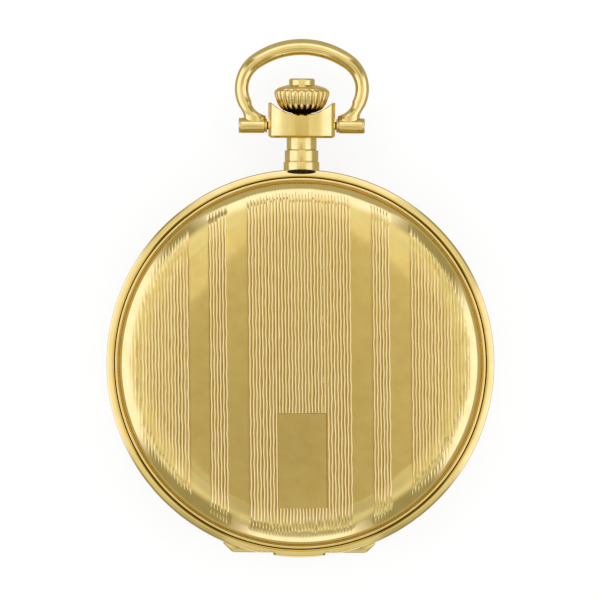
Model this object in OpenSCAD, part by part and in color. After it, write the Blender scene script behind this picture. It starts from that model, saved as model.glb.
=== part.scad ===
// Full hunter pocket watch, lying on its back, millimetres.
// X right, Y towards the pendant, Z out of the front lid.
// The origin is on the case axis, on the flat face of the back cover.

/* [Case] */
// Diameter of the case over the rims of the lids
case_d = 47; // [46.4:0.1:50]
// Height of the middle band between the two seams
band_h = 7; // [7:0.1:8]
// Height of the front lid above its seam
lid_h = 3; // [2.9:0.1:3.8]
// Depth of the back cover below its seam
back_h = 2.4; // [2.3:0.1:3]
// Thickness of the metal of both lids
shell_t = 0.5; // [0.4:0.05:0.6]
// Height of the rim round each lid
rim_h = 1.05; // [0.9:0.05:1.2]
// Width of the rim from its outer edge to the groove
rim_w = 1.25; // [1:0.05:1.4]
// Width of the round shoulder of a lid
shoulder_w = 3.9; // [3:0.1:5]
// Thickness of the wall of the band
band_t = 2.5; // [2.3:0.1:2.6]
// Swell of the band's outside
band_swell = 0.35; // [0.2:0.05:0.5]

/* [Hinges] */
// Radius of a hinge knuckle
hinge_r = 1.1; // [0.9:0.05:1.15]
// Distance from the rim's edge in to the hinge axis
hinge_inset = 1.65; // [1.6:0.05:1.8]
// Width of the middle knuckle, which is part of a lid
knuckle_w = 5.8; // [4:0.1:7]
// Width over all three knuckles
hinge_w = 15.8; // [13:0.1:16]
// Radius of a hinge pin
pin_r = 0.4; // [0.3:0.05:0.5]

/* [Pendant] */
// Radius of the thinnest, topmost step of the neck
neck_r = 1.82; // [1.75:0.01:1.9]
// Length of the neck from the case to the head
neck_len = 4; // [3.6:0.1:4.6]
// Width of the pendant head
head_w = 8.1; // [7.6:0.1:9]
// Height of the pendant head at its two horns
head_h = 4.25; // [4:0.05:5]
// Depth of the pendant head, front to back
head_t = 5.2; // [4.8:0.1:6]
// Radius of the saddle that the crown sits in
saddle_r = 5.3; // [5:0.1:6]
// Radius of the bore for the stem and its collar
pendant_bore_r = 1.25; // [1.2:0.01:1.3]

/* [Bow] */
// Width of the bow's loop between the middles of its sides
bow_w = 14.64; // [14:0.1:16]
// Distance from the bow's pivots to the middle of its top
bow_reach = 9.55; // [9.4:0.05:11]
// Radius of the bow's wire at the sides
wire_r = 0.82; // [0.7:0.01:0.9]
// Radius of the bow's wire at the top
wire_top_r = 0.98; // [0.8:0.01:1.1]
// Radius of the small bends at the bow's two sides
bow_bend_r = 4; // [3.6:0.1:4.4]
// Radius of the sleeves at the bow's ends
sleeve_r = 0.9; // [0.85:0.01:1]
// Length of a sleeve
sleeve_len = 3.45; // [3:0.05:3.6]
// Radius of the two screws that the bow turns on
bow_pin_r = 0.48; // [0.4:0.01:0.52]

/* [Crown] */
// Diameter of the crown over its ribs
crown_d = 6.8; // [6.2:0.1:7.2]
// Height of the crown, without its button
crown_h = 3.15; // [3:0.05:3.6]
// Number of ribs round the crown
crown_ribs = 22; // [16:1:28]
// Radius of the button in the crown
button_r = 1.58; // [1.4:0.01:1.7]
// Height that the button stands out of the crown
button_out = 0.8; // [0.75:0.05:1]
// Travel of the button
button_travel = 0.6; // [0.4:0.05:0.65]
// Travel of the crown when it is pulled to set the hands
pull_travel = 0.8; // [0.6:0.05:0.9]
// Radius of the hollow winding stem
stem_r = 0.75; // [0.7:0.01:0.8]
// Radius of the push rod inside the stem
rod_r = 0.36; // [0.3:0.01:0.4]

/* [Movement] */
// Diameter of the movement
movement_d = 36.6; // [36.6:0.1:36.9]
// Height of the movement's plate and its rim together
plate_h = 1.7; // [1.6:0.05:1.9]
// Thickness of the plate's floor
floor_t = 1; // [0.9:0.05:1.1]
// Room for the wheels between the plate and the bridges
train_room = 2.2; // [2.1:0.05:2.3]
// Thickness of the bridges
bridge_t = 0.9; // [0.8:0.05:1]
// Radius of the balance wheel
balance_r = 4.5; // [4:0.1:4.6]
// Thickness of a train wheel
wheel_t = 0.27; // [0.2:0.01:0.3]
// Free space between a shaft and its hole
fit = 0.02; // [0.01:0.005:0.04]

/* [Gears] */
// Module of the barrel and the centre pinion
barrel_m = 0.19; // [0.18:0.005:0.19]
// Module of the centre wheel and the third pinion
centre_m = 0.16; // [0.15:0.005:0.165]
// Module of the third wheel and the fourth pinion
third_m = 0.145; // [0.14:0.005:0.15]
// Module of the fourth wheel and the escape pinion
fourth_m = 0.125; // [0.12:0.005:0.13]
// Module of the wheels behind the dial
motion_m = 0.2; // [0.19:0.005:0.2]
// Module of the winding wheels
winding_m = 0.25; // [0.24:0.005:0.25]

/* [Dial and hands] */
// Diameter of the dial
dial_d = 38.6; // [38.2:0.1:38.7]
// Thickness of the dial
dial_t = 0.4; // [0.3:0.05:0.45]
// Length of the minute hand
minute_len = 15.5; // [13:0.1:16.5]
// Length of the hour hand
hour_len = 10.4; // [8:0.1:12]
// Length of the seconds hand
second_len = 3.3; // [2.5:0.1:3.6]
// Thickness of a hand
hand_t = 0.15; // [0.1:0.01:0.2]
// Thickness of the crystal
crystal_t = 0.9; // [0.7:0.05:1]
// Width of the bezel ring
bezel_w = 1.65; // [1.5:0.05:1.8]

/* [Hidden] */
$fn = 64;
BIG_FN = 128;
BOW_SIDES = 16;

// Heights and radii of the case
seam_gap = 0.05;
back_seam = back_h;
front_seam = back_h + band_h;
mid_z = back_h + band_h / 2;
case_r = case_d / 2;
band_r = case_r - 0.8;
bore_r = band_r - band_t;
groove_r = case_r - rim_w;
wall_r = groove_r - 0.3;
lip_r = bore_r + 0.75;
seat_r = bore_r + 0.7;
seat_z = front_seam - 1.1;

// Hinges
hinge_y = -(case_r - hinge_inset);
hinge_gap = 0.15;
front_hinge_z = front_seam - hinge_r - hinge_gap;
back_hinge_z = back_seam + hinge_r + hinge_gap;
wing_w = hinge_w + 2.4;
relief_w = 2 * sqrt(case_r * case_r - hinge_y * hinge_y) + 0.6;

// Pendant, bow and crown, measured along Y from the case axis
neck_y = band_r + band_swell + 0.05;
spigot_y = bore_r + 1.1;
spigot_r = pendant_bore_r + 0.55;
head_y = case_r - 0.15 + neck_len;
horn_y = head_y + head_h;
saddle_y = head_y + head_h * 0.635;
pivot_y = head_y + head_h * 0.35;
sleeve_in = head_w / 2 + 0.15;
crown_y = saddle_y + 0.5;
crown_top = crown_y + crown_h;
crown_r = crown_d / 2;
button_y = crown_top + button_out;
spring_room = 1.1;
button_len = 1.75;
recess_y = button_y - button_len - spring_room;
collar_len = 1.2;
collar_y = spigot_y - 0.1;
collar_r = pendant_bore_r - 0.1;

// Heights of the movement
plate_top = mid_z + 2;
plate_z = plate_top - plate_h;
floor_top = plate_z + floor_t;
bridge_top = plate_z - train_room;
bridge_z = bridge_top - bridge_t;
movement_r = movement_d / 2;
ring_out = bore_r - 1.4;
dial_top = plate_top + dial_t;
second_z = dial_top + 0.15;
hour_z = second_z + hand_t + 0.15;
minute_z = hour_z + hand_t + 0.2;
crystal_z = minute_z + hand_t + 0.2;

// Levels of the train, counted down from the plate
centre_level = bridge_top + 0.15;
fourth_level = centre_level + 0.6;
third_level = centre_level + 1.1;
barrel_level = centre_level + wheel_t + 0.3;
barrel_h = plate_z - 0.12 - barrel_level;
pinion_h = 0.55;

// Numbers of teeth
BARREL_T = 80;
CENTRE_PINION_T = 10;
CENTRE_T = 80;
THIRD_PINION_T = 10;
THIRD_T = 75;
FOURTH_PINION_T = 10;
FOURTH_T = 80;
ESCAPE_PINION_T = 8;
ESCAPE_T = 15;
CANNON_T = 10;
MINUTE_T = 30;
MINUTE_PINION_T = 8;
HOUR_T = 32;
SETTING_T = 20;
CROWN_WHEEL_T = 32;
RATCHET_T = 48;
WINDING_T = 16;

function pitch_r(n, m) = n * m / 2;
function mesh(n1, n2, m) = (n1 + n2) * m / 2;
function polar(r, a) = [r * cos(a), r * sin(a)];
function bearing(a, b) = atan2(b[1] - a[1], b[0] - a[0]);
function circle_meet(a, ra, b, rb, side) =
    let (d = norm(b - a), u = (b - a) / d, k = (ra * ra - rb * rb + d * d) / (2 * d),
         h = sqrt(ra * ra - k * k))
    a + k * u + side * h * [-u[1], u[0]];

// Tooth position of the second wheel, so that a gap meets the first wheel's tooth
function meshed(pa, na, phase_a, pb, nb) =
    let (line = bearing(pa, pb))
    line + 180 + 180 / nb - (phase_a - line) * na / nb;

// Places of the axes in the plan of the movement
centre_at = [0, 0];
barrel_at = polar(mesh(BARREL_T, CENTRE_PINION_T, barrel_m), 30);
fourth_at = [0, -9];
third_at = circle_meet(centre_at, mesh(CENTRE_T, THIRD_PINION_T, centre_m), fourth_at,
                       mesh(THIRD_T, FOURTH_PINION_T, third_m), -1);
escape_at = fourth_at + polar(mesh(FOURTH_T, ESCAPE_PINION_T, fourth_m), -36.9);
balance_at = [9.6, -9.4];
escape_r = 2.2;
pallet_at = escape_at + polar(escape_r + 0.55, bearing(escape_at, balance_at));
minute_at = [0, mesh(CANNON_T, MINUTE_T, motion_m)];
setting_at = minute_at + [0, mesh(MINUTE_T, SETTING_T, motion_m)];
ratchet_r = pitch_r(RATCHET_T, winding_m);
winding_span = mesh(CROWN_WHEEL_T, RATCHET_T, winding_m);
crown_wheel_at = [0, barrel_at[1] + sqrt(winding_span * winding_span - barrel_at[0] * barrel_at[0])];
winding_y = crown_wheel_at[1] + pitch_r(CROWN_WHEEL_T, winding_m);
stem_end = winding_y - 2.9;
cock_foot_at = polar(movement_r - 2.5, -14);
pallet_foot_at = polar(movement_r - 2.3, -58.8);

// Tooth positions along the trains
centre_pinion_phase = 0;
barrel_phase = meshed(centre_at, CENTRE_PINION_T, centre_pinion_phase, barrel_at, BARREL_T);
centre_phase = bearing(centre_at, third_at);
third_pinion_phase = meshed(centre_at, CENTRE_T, centre_phase, third_at, THIRD_PINION_T);
third_phase = bearing(third_at, fourth_at);
fourth_pinion_phase = meshed(third_at, THIRD_T, third_phase, fourth_at, FOURTH_PINION_T);
fourth_phase = bearing(fourth_at, escape_at);
escape_pinion_phase = meshed(fourth_at, FOURTH_T, fourth_phase, escape_at, ESCAPE_PINION_T);
minute_phase = meshed(centre_at, CANNON_T, 0, minute_at, MINUTE_T);
minute_pinion_phase = 0;
hour_phase = meshed(minute_at, MINUTE_PINION_T, minute_pinion_phase, centre_at, HOUR_T);
setting_phase = meshed(minute_at, MINUTE_T, minute_phase, setting_at, SETTING_T);
crown_wheel_phase = 0;
ratchet_phase = meshed(crown_wheel_at, CROWN_WHEEL_T, crown_wheel_phase, barrel_at, RATCHET_T);

// Places of the bridge screws, each over a foot of its bridge
SCREW_R = 0.75;
SCREW_HEAD_H = 0.35;
SHANK_R = 0.4;
SCREW_HOLE_R = 0.42;
FOOT_R = 1.3;
foot_ring = movement_r - 1.7;
barrel_feet = [for (a = [358, 68, 110, 175]) polar(foot_ring, a)];
train_feet = [for (a = [196, 243, 277]) polar(foot_ring, a)];

JEWEL_R = 0.73;
SMALL_JEWEL_R = 0.58;
STUD_R = 0.4;
ARBOR_END_R = 0.9;
dial_feet = [[-14, -4], [14, -4]];
DIAL_FOOT_R = 0.42;
WHEEL_PLAY = 0.12;

GOLD = "#d8b95a";
STEEL = "#b9bcc0";
BRASS = "#c9a95a";
RUBY = "#b01f3c";
BLUED = "#27366b";

// Toothed outline with four corners a tooth
function teeth(n, m, phase, add, ded) =
    let (r = pitch_r(n, m), step = 360 / n, tip = r + add * m, root = r - ded * m,
         low = 0.27 * step, high = 0.11 * step)
    [for (i = [0:n - 1])
        for (k = [[root, -low], [tip, -high], [tip, high], [root, low]])
            polar(k[0], phase + i * step + k[1])];

// Window between two spokes, with flat sides
function window(r1, r2, a1, a2) =
    concat([for (i = [0:5]) polar(r2, a1 + (a2 - a1) * i / 5)],
           [for (i = [5:-1:0]) polar(r1, a1 + (a2 - a1) * i / 5)]);

// Flat polygonal hole that a round shaft just clears
module shaft_hole(r) {
    circle(r = (r + fit) / cos(15), $fn = 12);
}

// Flat wheel with teeth and spokes, its lower face at z
module spoked_wheel(n, m, phase, z, t, hole_r, spokes) {
    rim = pitch_r(n, m) - 2 * m - 0.35;
    hub = hole_r + 0.6;
    pitch = 360 / spokes;
    translate([0, 0, z])
        linear_extrude(t)
            difference() {
                polygon(teeth(n, m, phase, 0.9, 1.3));
                shaft_hole(hole_r);
                for (i = [0:spokes - 1])
                    polygon(window(hub, rim, phase + (i + 0.12) * pitch, phase + (i + 0.88) * pitch));
            }
}

// Solid toothed disc with a shaft hole, its lower face at z
module pinion(n, m, phase, z, t, hole_r) {
    translate([0, 0, z])
        linear_extrude(t)
            difference() {
                polygon(teeth(n, m, phase, 0.8, 1.3));
                shaft_hole(hole_r);
            }
}

// Round bar along Z between two heights
module bar(r, z1, z2) {
    translate([0, 0, z1])
        cylinder(r = r, h = z2 - z1);
}

// Round bar along Y between two places, on the stem's line
module stem_bar(r, y1, y2) {
    translate([0, y1, mid_z])
        rotate([-90, 0, 0])
            cylinder(r = r, h = y2 - y1);
}

// Round bar along X between two places
module cross_bar(r, x1, x2, y, z) {
    translate([x1, y, z])
        rotate([0, 90, 0])
            cylinder(r = r, h = x2 - x1);
}

module at(p) {
    translate([p[0], p[1], 0])
        children();
}

// Screw with a slotted head, its head's outer face at z and its shank towards the dial
module slot_screw(p, head_r, z, head_h, shank_r, shank_len) {
    at(p)
        difference() {
            union() {
                bar(head_r, z, z + head_h);
                bar(shank_r, z, z + head_h + shank_len);
            }
            translate([-head_r - 1, -0.12, z - 1])
                cube([2 * head_r + 2, 0.24, 1 + head_h * 0.4]);
        }
}

// Quarter ellipse that starts upright at r0 and ends level, w further in and h higher
function ellipse_arc(r0, z0, w, h, n) =
    [for (i = [0:n]) [r0 - w * (1 - cos(90 * i / n)), z0 + h * sin(90 * i / n)]];

// Half section of a lid, seam at zero height, with its top at height h
module lid_section(h, rise) {
    edge = 0.4;
    top = h - rise;
    low = rim_h + 0.1;
    inner_r = wall_r - shell_t;
    lip_h = 0.45;
    polygon(concat(
        [[lip_r, seam_gap], [case_r - 0.15, seam_gap], [case_r, 0.25]],
        [for (i = [0:4]) [case_r - edge + edge * cos(22.5 * i), rim_h - edge + edge * sin(22.5 * i)]],
        [[groove_r + 0.1, rim_h - 0.05], [groove_r, rim_h - 0.35], [groove_r - 0.15, rim_h - 0.35]],
        ellipse_arc(wall_r, low, shoulder_w, top - low, 10),
        [for (i = [1:5]) [(wall_r - shoulder_w) * (1 - i / 5), top + rise * (1 - pow(1 - i / 5, 2))]],
        [for (i = [5:-1:1]) [(wall_r - shoulder_w) * (1 - i / 5),
                             top - shell_t + rise * (1 - pow(1 - i / 5, 2))]],
        [for (i = [10:-1:0]) [inner_r - (shoulder_w - 0.2) * (1 - cos(9 * i)),
                              low + (top - low - shell_t) * sin(9 * i)]],
        [[inner_r, lip_h], [lip_r, lip_h]]));
}

// Lid with its knuckle, seam at zero height, hinge axis at height -drop
module lid_body(h, rise, drop) {
    half = knuckle_w / 2 - 0.04;
    difference() {
        union() {
            rotate_extrude($fn = BIG_FN)
                lid_section(h, rise);
            cross_bar(hinge_r, -half, half, hinge_y, -drop);
            translate([-half, hinge_y - 0.55, -drop])
                cube([2 * half, 1.1, drop + 0.35]);
        }
        cross_bar(pin_r + fit, -half - 1, half + 1, hinge_y, -drop);
    }
}

module case_band() {
    steps = 7;
    half_k = knuckle_w / 2;
    block_y = hinge_r - hinge_y - 0.06;
    color(GOLD)
    difference() {
        union() {
            difference() {
                rotate_extrude($fn = BIG_FN)
                    polygon(concat(
                        [[bore_r, back_seam], [band_r - 0.2, back_seam]],
                        [for (i = [0:steps]) [band_r + band_swell * sin(180 * i / steps),
                                              back_seam + 0.15 + (band_h - 0.3) * i / steps]],
                        [[band_r - 0.2, front_seam], [seat_r, front_seam],
                         [seat_r, seat_z], [bore_r, seat_z]]));
                for (z = [front_hinge_z - 1.9, back_seam - 1])
                    translate([-relief_w / 2, hinge_y - 4, z])
                        cube([relief_w, 4, hinge_r + hinge_gap + 1.9 + 1]);
            }
            translate([0, 0, back_hinge_z])
                linear_extrude(front_hinge_z - back_hinge_z)
                    polygon([[-hinge_w / 2, -block_y], [hinge_w / 2, -block_y],
                             [wing_w / 2, -block_y + 1.5], [wing_w / 2 - 0.6, -block_y + 2.1],
                             [-wing_w / 2 + 0.6, -block_y + 2.1], [-wing_w / 2, -block_y + 1.5]]);
            for (z = [front_hinge_z, back_hinge_z])
                for (x = [-hinge_w / 2, half_k + 0.06])
                    cross_bar(hinge_r, x, x + hinge_w / 2 - half_k - 0.06, hinge_y, z);
        }
        for (z = [front_hinge_z, back_hinge_z]) {
            cross_bar(hinge_r + hinge_gap, -half_k - 0.06, half_k + 0.06, hinge_y, z);
            cross_bar(pin_r + fit, -hinge_w, hinge_w, hinge_y, z);
        }
        for (z = [front_hinge_z, back_seam - 1])
            translate([-half_k - 0.06, hinge_y - 4, z])
                cube([knuckle_w + 0.12, 4.7, hinge_r + hinge_gap + 1]);
        stem_bar(spigot_r + fit, bore_r - 1, case_r + 2);
        translate([-1.55, bore_r - 1, mid_z - 1.3])
            cube([3.1, 2.05, front_seam]);
    }
}

module pendant() {
    base = (head_y - neck_y) / 3;
    bulge_r = head_w;
    color(GOLD)
    difference() {
        union() {
            stem_bar(spigot_r, spigot_y, neck_y);
            stem_bar(neck_r + 0.35, neck_y, neck_y + base - 0.1);
            stem_bar(neck_r + 0.22, neck_y + base, neck_y + 2 * base - 0.1);
            stem_bar(neck_r, neck_y + 2 * base, head_y);
            stem_bar(neck_r - 0.12, neck_y, head_y);
            intersection() {
                translate([0, 0, mid_z - head_t / 2])
                    linear_extrude(head_t)
                        polygon([[-head_w / 2, head_y + 0.45], [-head_w / 2 + 0.45, head_y],
                                 [head_w / 2 - 0.45, head_y], [head_w / 2, head_y + 0.45],
                                 [head_w / 2, horn_y], [-head_w / 2, horn_y]]);
                translate([0, head_y - 1, mid_z + head_t / 2 - bulge_r])
                    rotate([-90, 0, 0])
                        cylinder(r = bulge_r, h = head_h + 2);
                translate([0, head_y - 1, mid_z - head_t / 2 + bulge_r])
                    rotate([-90, 0, 0])
                        cylinder(r = bulge_r, h = head_h + 2);
            }
        }
        translate([0, saddle_y + saddle_r, mid_z - head_t])
            cylinder(r = saddle_r, h = 2 * head_t);
        stem_bar(pendant_bore_r, spigot_y - 1, horn_y + 1);
        for (x = [-head_w, pendant_bore_r + 0.35])
            cross_bar(bow_pin_r + fit, x, x + head_w - pendant_bore_r - 0.35, pivot_y, mid_z);
    }
}

// Middle point, plane angle and radius of each ring of the bow's wire, from the right end to the left.
// Two small bends run up from the sleeves and meet a top arc of large radius, and the ends are round.
function bow_rings() =
    let (bend_x = bow_w / 2 - bow_bend_r, bend_y = pivot_y + bow_reach * 0.47,
         gap = pivot_y + bow_reach - bend_y,
         top_r = (bend_x * bend_x + gap * gap - bow_bend_r * bow_bend_r) / (2 * (gap - bow_bend_r)),
         top_y = pivot_y + bow_reach - top_r,
         turn = atan2(bend_y - top_y, bend_x), tail = 62, from = 180 - turn,
         right = [bend_x, bend_y] + polar(bow_bend_r, -tail),
         left = [-bend_x, bend_y] + polar(bow_bend_r, 180 + tail))
    concat(
        [for (q = [75, 50, 25]) [right + polar(wire_r * sin(q), -tail - 90), -tail, wire_r * cos(q)]],
        [for (i = [0:13]) let (a = -tail + (tail + turn) * i / 14)
            [[bend_x, bend_y] + polar(bow_bend_r, a), a, bow_wire(a)]],
        [for (i = [0:18]) let (a = turn + (180 - 2 * turn) * i / 18)
            [[0, top_y] + polar(top_r, a), a, bow_wire(a)]],
        [for (i = [1:14]) let (a = from + (tail + turn) * i / 14)
            [[-bend_x, bend_y] + polar(bow_bend_r, a), a, bow_wire(a)]],
        [for (q = [25, 50, 75]) [left + polar(wire_r * sin(q), 270 + tail), 180 + tail, wire_r * cos(q)]]);

// The wire is thickest at the top
function bow_wire(a) = wire_r + (wire_top_r - wire_r) * pow(max(0, sin(a)), 2);

module bow() {
    rings = bow_rings();
    n = len(rings);
    points = [for (ring = rings)
                 for (k = [0:BOW_SIDES - 1])
                     let (f = 360 * (k + 0.5) / BOW_SIDES, p = ring[0] + polar(ring[2] * cos(f), ring[1]))
                         [p[0], p[1], mid_z + ring[2] * sin(f)]];
    sides = [for (i = [0:n - 2])
                for (k = [0:BOW_SIDES - 1])
                    let (a = i * BOW_SIDES + k, b = i * BOW_SIDES + (k + 1) % BOW_SIDES)
                        for (face = [[a, b, b + BOW_SIDES], [a, b + BOW_SIDES, a + BOW_SIDES]]) face];
    first_cap = [for (k = [BOW_SIDES - 1:-1:0]) k];
    last_cap = [for (k = [0:BOW_SIDES - 1]) (n - 1) * BOW_SIDES + k];
    color(GOLD)
    difference() {
        union() {
            polyhedron(points, concat(sides, [first_cap, last_cap]), convexity = 6);
            for (s = [0, 1])
                mirror([s, 0, 0])
                    cross_bar(sleeve_r, sleeve_in, sleeve_in + sleeve_len, pivot_y, mid_z);
        }
        for (x = [-sleeve_in - sleeve_len + 0.6, sleeve_in - 1])
            cross_bar(bow_pin_r + fit, x, x + sleeve_len + 0.4, pivot_y, mid_z);
    }
}

module bow_screws() {
    from = pendant_bore_r + 0.45;
    to = sleeve_in + sleeve_len - 0.7;
    color(STEEL) {
        cross_bar(bow_pin_r, from, to, pivot_y, mid_z);
        cross_bar(bow_pin_r, -to, -from, pivot_y, mid_z);
    }
}

module front_lid() {
    color(GOLD)
        translate([0, 0, front_seam])
            lid_body(lid_h, 0.3, front_seam - front_hinge_z);
}

module back_cover() {
    color(GOLD)
        translate([0, 0, back_seam])
            mirror([0, 0, 1])
                lid_body(back_h, 0, back_hinge_z - back_seam);
}

module front_hinge_pin() {
    color(STEEL)
        cross_bar(pin_r, -hinge_w / 2, hinge_w / 2, hinge_y, front_hinge_z);
}

module back_hinge_pin() {
    color(STEEL)
        cross_bar(pin_r, -hinge_w / 2, hinge_w / 2, hinge_y, back_hinge_z);
}

module bezel() {
    out = seat_r - fit;
    inner = out - bezel_w;
    top = crystal_z + crystal_t * 0.55;
    color(GOLD)
    difference() {
        rotate_extrude($fn = BIG_FN)
            polygon([[inner, seat_z], [out, seat_z], [out, front_seam], [out - 0.5, top],
                     [inner + 0.45, top], [inner + 0.35, crystal_z], [inner, crystal_z]]);
        translate([-1.6, out - 1.2, front_seam - 4])
            cube([3.2, 2, 8]);
        cross_bar(hinge_r + hinge_gap, -knuckle_w / 2 - 0.06, knuckle_w / 2 + 0.06, hinge_y, front_hinge_z);
    }
}

module crystal() {
    edge = seat_r - bezel_w + 0.3;
    dome = 0.45;
    steps = 10;
    color("lightcyan", 0.3)
        translate([0, 0, crystal_z + fit])
            rotate_extrude($fn = BIG_FN)
                polygon(concat([[0, 0], [edge, 0]],
                               [for (i = [0:steps]) [edge * (1 - i / steps),
                                                     crystal_t + dome * (1 - pow(1 - i / steps, 2))]]));
}

module crown() {
    lobe = 360 / crown_ribs;
    color(GOLD)
    translate([0, crown_y, mid_z])
        rotate([-90, 0, 0])
            difference() {
                intersection() {
                    rotate_extrude()
                        polygon([[0, 0], [crown_r * 0.58, 0], [crown_r * 0.8, crown_h * 0.28],
                                 [crown_r * 0.97, crown_h * 0.6], [crown_r, crown_h * 0.74],
                                 [crown_r * 0.93, crown_h * 0.88], [crown_r * 0.72, crown_h], [0, crown_h]]);
                    linear_extrude(crown_h)
                        polygon([for (i = [0:crown_ribs - 1])
                                    for (k = [[0.9, 0], [0.985, 0.2], [1, 0.5], [0.985, 0.8]])
                                        polar(crown_r * k[0], lobe * (i + k[1]))]);
                }
                translate([0, 0, recess_y - crown_y])
                    cylinder(r = button_r + fit, h = crown_h + 1);
                translate([0, 0, -1])
                    cylinder(r = stem_r + fit, h = crown_h);
            }
}

module winding_stem() {
    slot = collar_len + button_travel + pull_travel;
    color(STEEL)
    difference() {
        union() {
            stem_bar(stem_r, winding_y + 1.5, recess_y - 0.05);
            translate([-stem_r * 0.66, stem_end, mid_z - stem_r * 0.66])
                cube([stem_r * 1.32, winding_y + 1.6 - stem_end, stem_r * 1.32]);
        }
        stem_bar(rod_r + fit, collar_y - button_travel - 0.6, recess_y + 1);
        translate([-2, collar_y + collar_len / 2 - slot / 2, mid_z - 0.2])
            cube([4, slot, 0.4]);
    }
}

module crown_seal() {
    color("dimgray")
        difference() {
            stem_bar(pendant_bore_r - fit, horn_y - head_h * 0.75, horn_y - head_h * 0.75 + 0.7);
            stem_bar(stem_r + fit, horn_y - head_h, horn_y);
        }
}

module lid_button() {
    flat = button_y - 0.2;
    color(GOLD)
    difference() {
        union() {
            stem_bar(button_r, button_y - button_len, flat);
            stem_bar(button_r - 0.2, flat, button_y);
        }
        stem_bar(rod_r + fit, button_y - button_len - 1, button_y - 0.6);
    }
}

module push_rod() {
    color(STEEL)
    difference() {
        stem_bar(rod_r, collar_y, button_y - 0.65);
        cross_bar(0.17, -2, 2, collar_y + collar_len / 2, mid_z);
    }
}

module cross_pin() {
    reach = collar_r - 0.05;
    color(STEEL)
        cross_bar(0.15, -reach, reach, collar_y + collar_len / 2, mid_z);
}

module push_collar() {
    color(STEEL)
    difference() {
        stem_bar(collar_r, collar_y, collar_y + collar_len);
        stem_bar(stem_r + fit, collar_y - 1, collar_y + collar_len + 1);
        cross_bar(0.17, -2, 2, collar_y + collar_len / 2, mid_z);
    }
}

module button_spring() {
    color(STEEL)
    difference() {
        stem_bar(button_r - 0.25, recess_y + 0.02, button_y - button_len - 0.02);
        stem_bar(button_r - 0.55, recess_y - 1, button_y);
    }
}

// Bent strip between two angles on the inside of the band
module strip(r, t, a1, a2, z1, z2) {
    translate([0, 0, z1])
        rotate([0, 0, a1])
            rotate_extrude(angle = a2 - a1, $fn = BIG_FN)
                translate([r, 0])
                    square([t, z2 - z1]);
}

strip_r = bore_r - 0.6;
strip_t = 0.35;
strip_low = mid_z - 0.9;
strip_high = mid_z + 1.3;
strip_screw_z = mid_z - 0.1;
LOCK_ANGLE = 45;
LIFT_ANGLE = 222;
TAB_ANGLE = 262.25;
tab_turn = 6.5;

// Hole for the screw at a strip's fixed end
module strip_hole(angle) {
    rotate([0, 0, angle])
        translate([strip_r - 1, 0, strip_screw_z])
            rotate([0, 90, 0])
                cylinder(r = 0.37, h = 3);
}

// Strip that ends in a fork over the stem, with the hook that holds the lid on a post above it
module lock_spring() {
    arm_out = collar_y - 0.35;
    fork_w = 2.5;
    fork_y = strip_r + 0.1;
    hook_w = 1.8;
    hook_t = 0.35;
    hook_y = arm_out - 0.75;
    hook_z = front_seam + 0.5;
    post_z = strip_high - 0.1;
    slot = stem_r + 0.2;
    color(STEEL)
    difference() {
        union() {
            strip(strip_r, strip_t, LOCK_ANGLE - 3, 87, strip_low, strip_high);
            translate([-fork_w / 2, fork_y, strip_low - 0.05])
                cube([fork_w, arm_out - fork_y, strip_high - strip_low + 0.1]);
            translate([-hook_w / 2, hook_y, post_z])
                cube([hook_w, hook_t, hook_z + hook_t - post_z]);
            translate([-hook_w / 2, hook_y, hook_z])
                cube([hook_w, lip_r - 0.05 - hook_y, hook_t]);
        }
        translate([-slot, strip_r - 2, strip_low - 1])
            cube([2 * slot, 5, mid_z + slot - strip_low + 1]);
        strip_hole(LOCK_ANGLE);
    }
}

module lift_spring() {
    color(STEEL)
    difference() {
        union() {
            strip(strip_r, strip_t, LIFT_ANGLE - 3, 266, strip_low, strip_high);
            strip(strip_r + 0.04, strip_t - 0.08, TAB_ANGLE - tab_turn / 2, TAB_ANGLE + tab_turn / 2,
                  strip_high - 0.1, seat_z - 0.15);
        }
        strip_hole(LIFT_ANGLE);
    }
}

module spring_screws() {
    color(BLUED)
        for (a = [LOCK_ANGLE, LIFT_ANGLE])
            rotate([0, 0, a])
                translate([strip_r - 0.12, 0, strip_screw_z])
                    rotate([0, 90, 0]) {
                        cylinder(r = 0.6, h = 0.1);
                        cylinder(r = 0.33, h = bore_r - strip_r + 0.11);
                    }
}

module movement_ring() {
    inside = movement_r + 0.05;
    ledge_z = plate_top - 0.5;
    color(BRASS)
    difference() {
        rotate_extrude($fn = BIG_FN)
            polygon([[inside, plate_z], [ring_out, plate_z], [ring_out, ledge_z],
                     [bore_r - fit, ledge_z], [bore_r - fit, plate_top], [inside, plate_top]]);
        translate([-1.6, 0, plate_z - 1])
            cube([3.2, case_r, plate_h + 2]);
        rotate([0, 0, TAB_ANGLE])
            translate([strip_r - 0.3, -1.5, plate_z - 1])
                cube([2, 3, plate_h + 2]);
    }
}

case_screw_angles = [145, 325];

module case_screws() {
    color(BLUED)
        for (a = case_screw_angles)
            slot_screw(polar(movement_r - 0.2, a), 1.1, plate_z - 0.85, 0.5, SHANK_R, 0.33);
}

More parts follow.
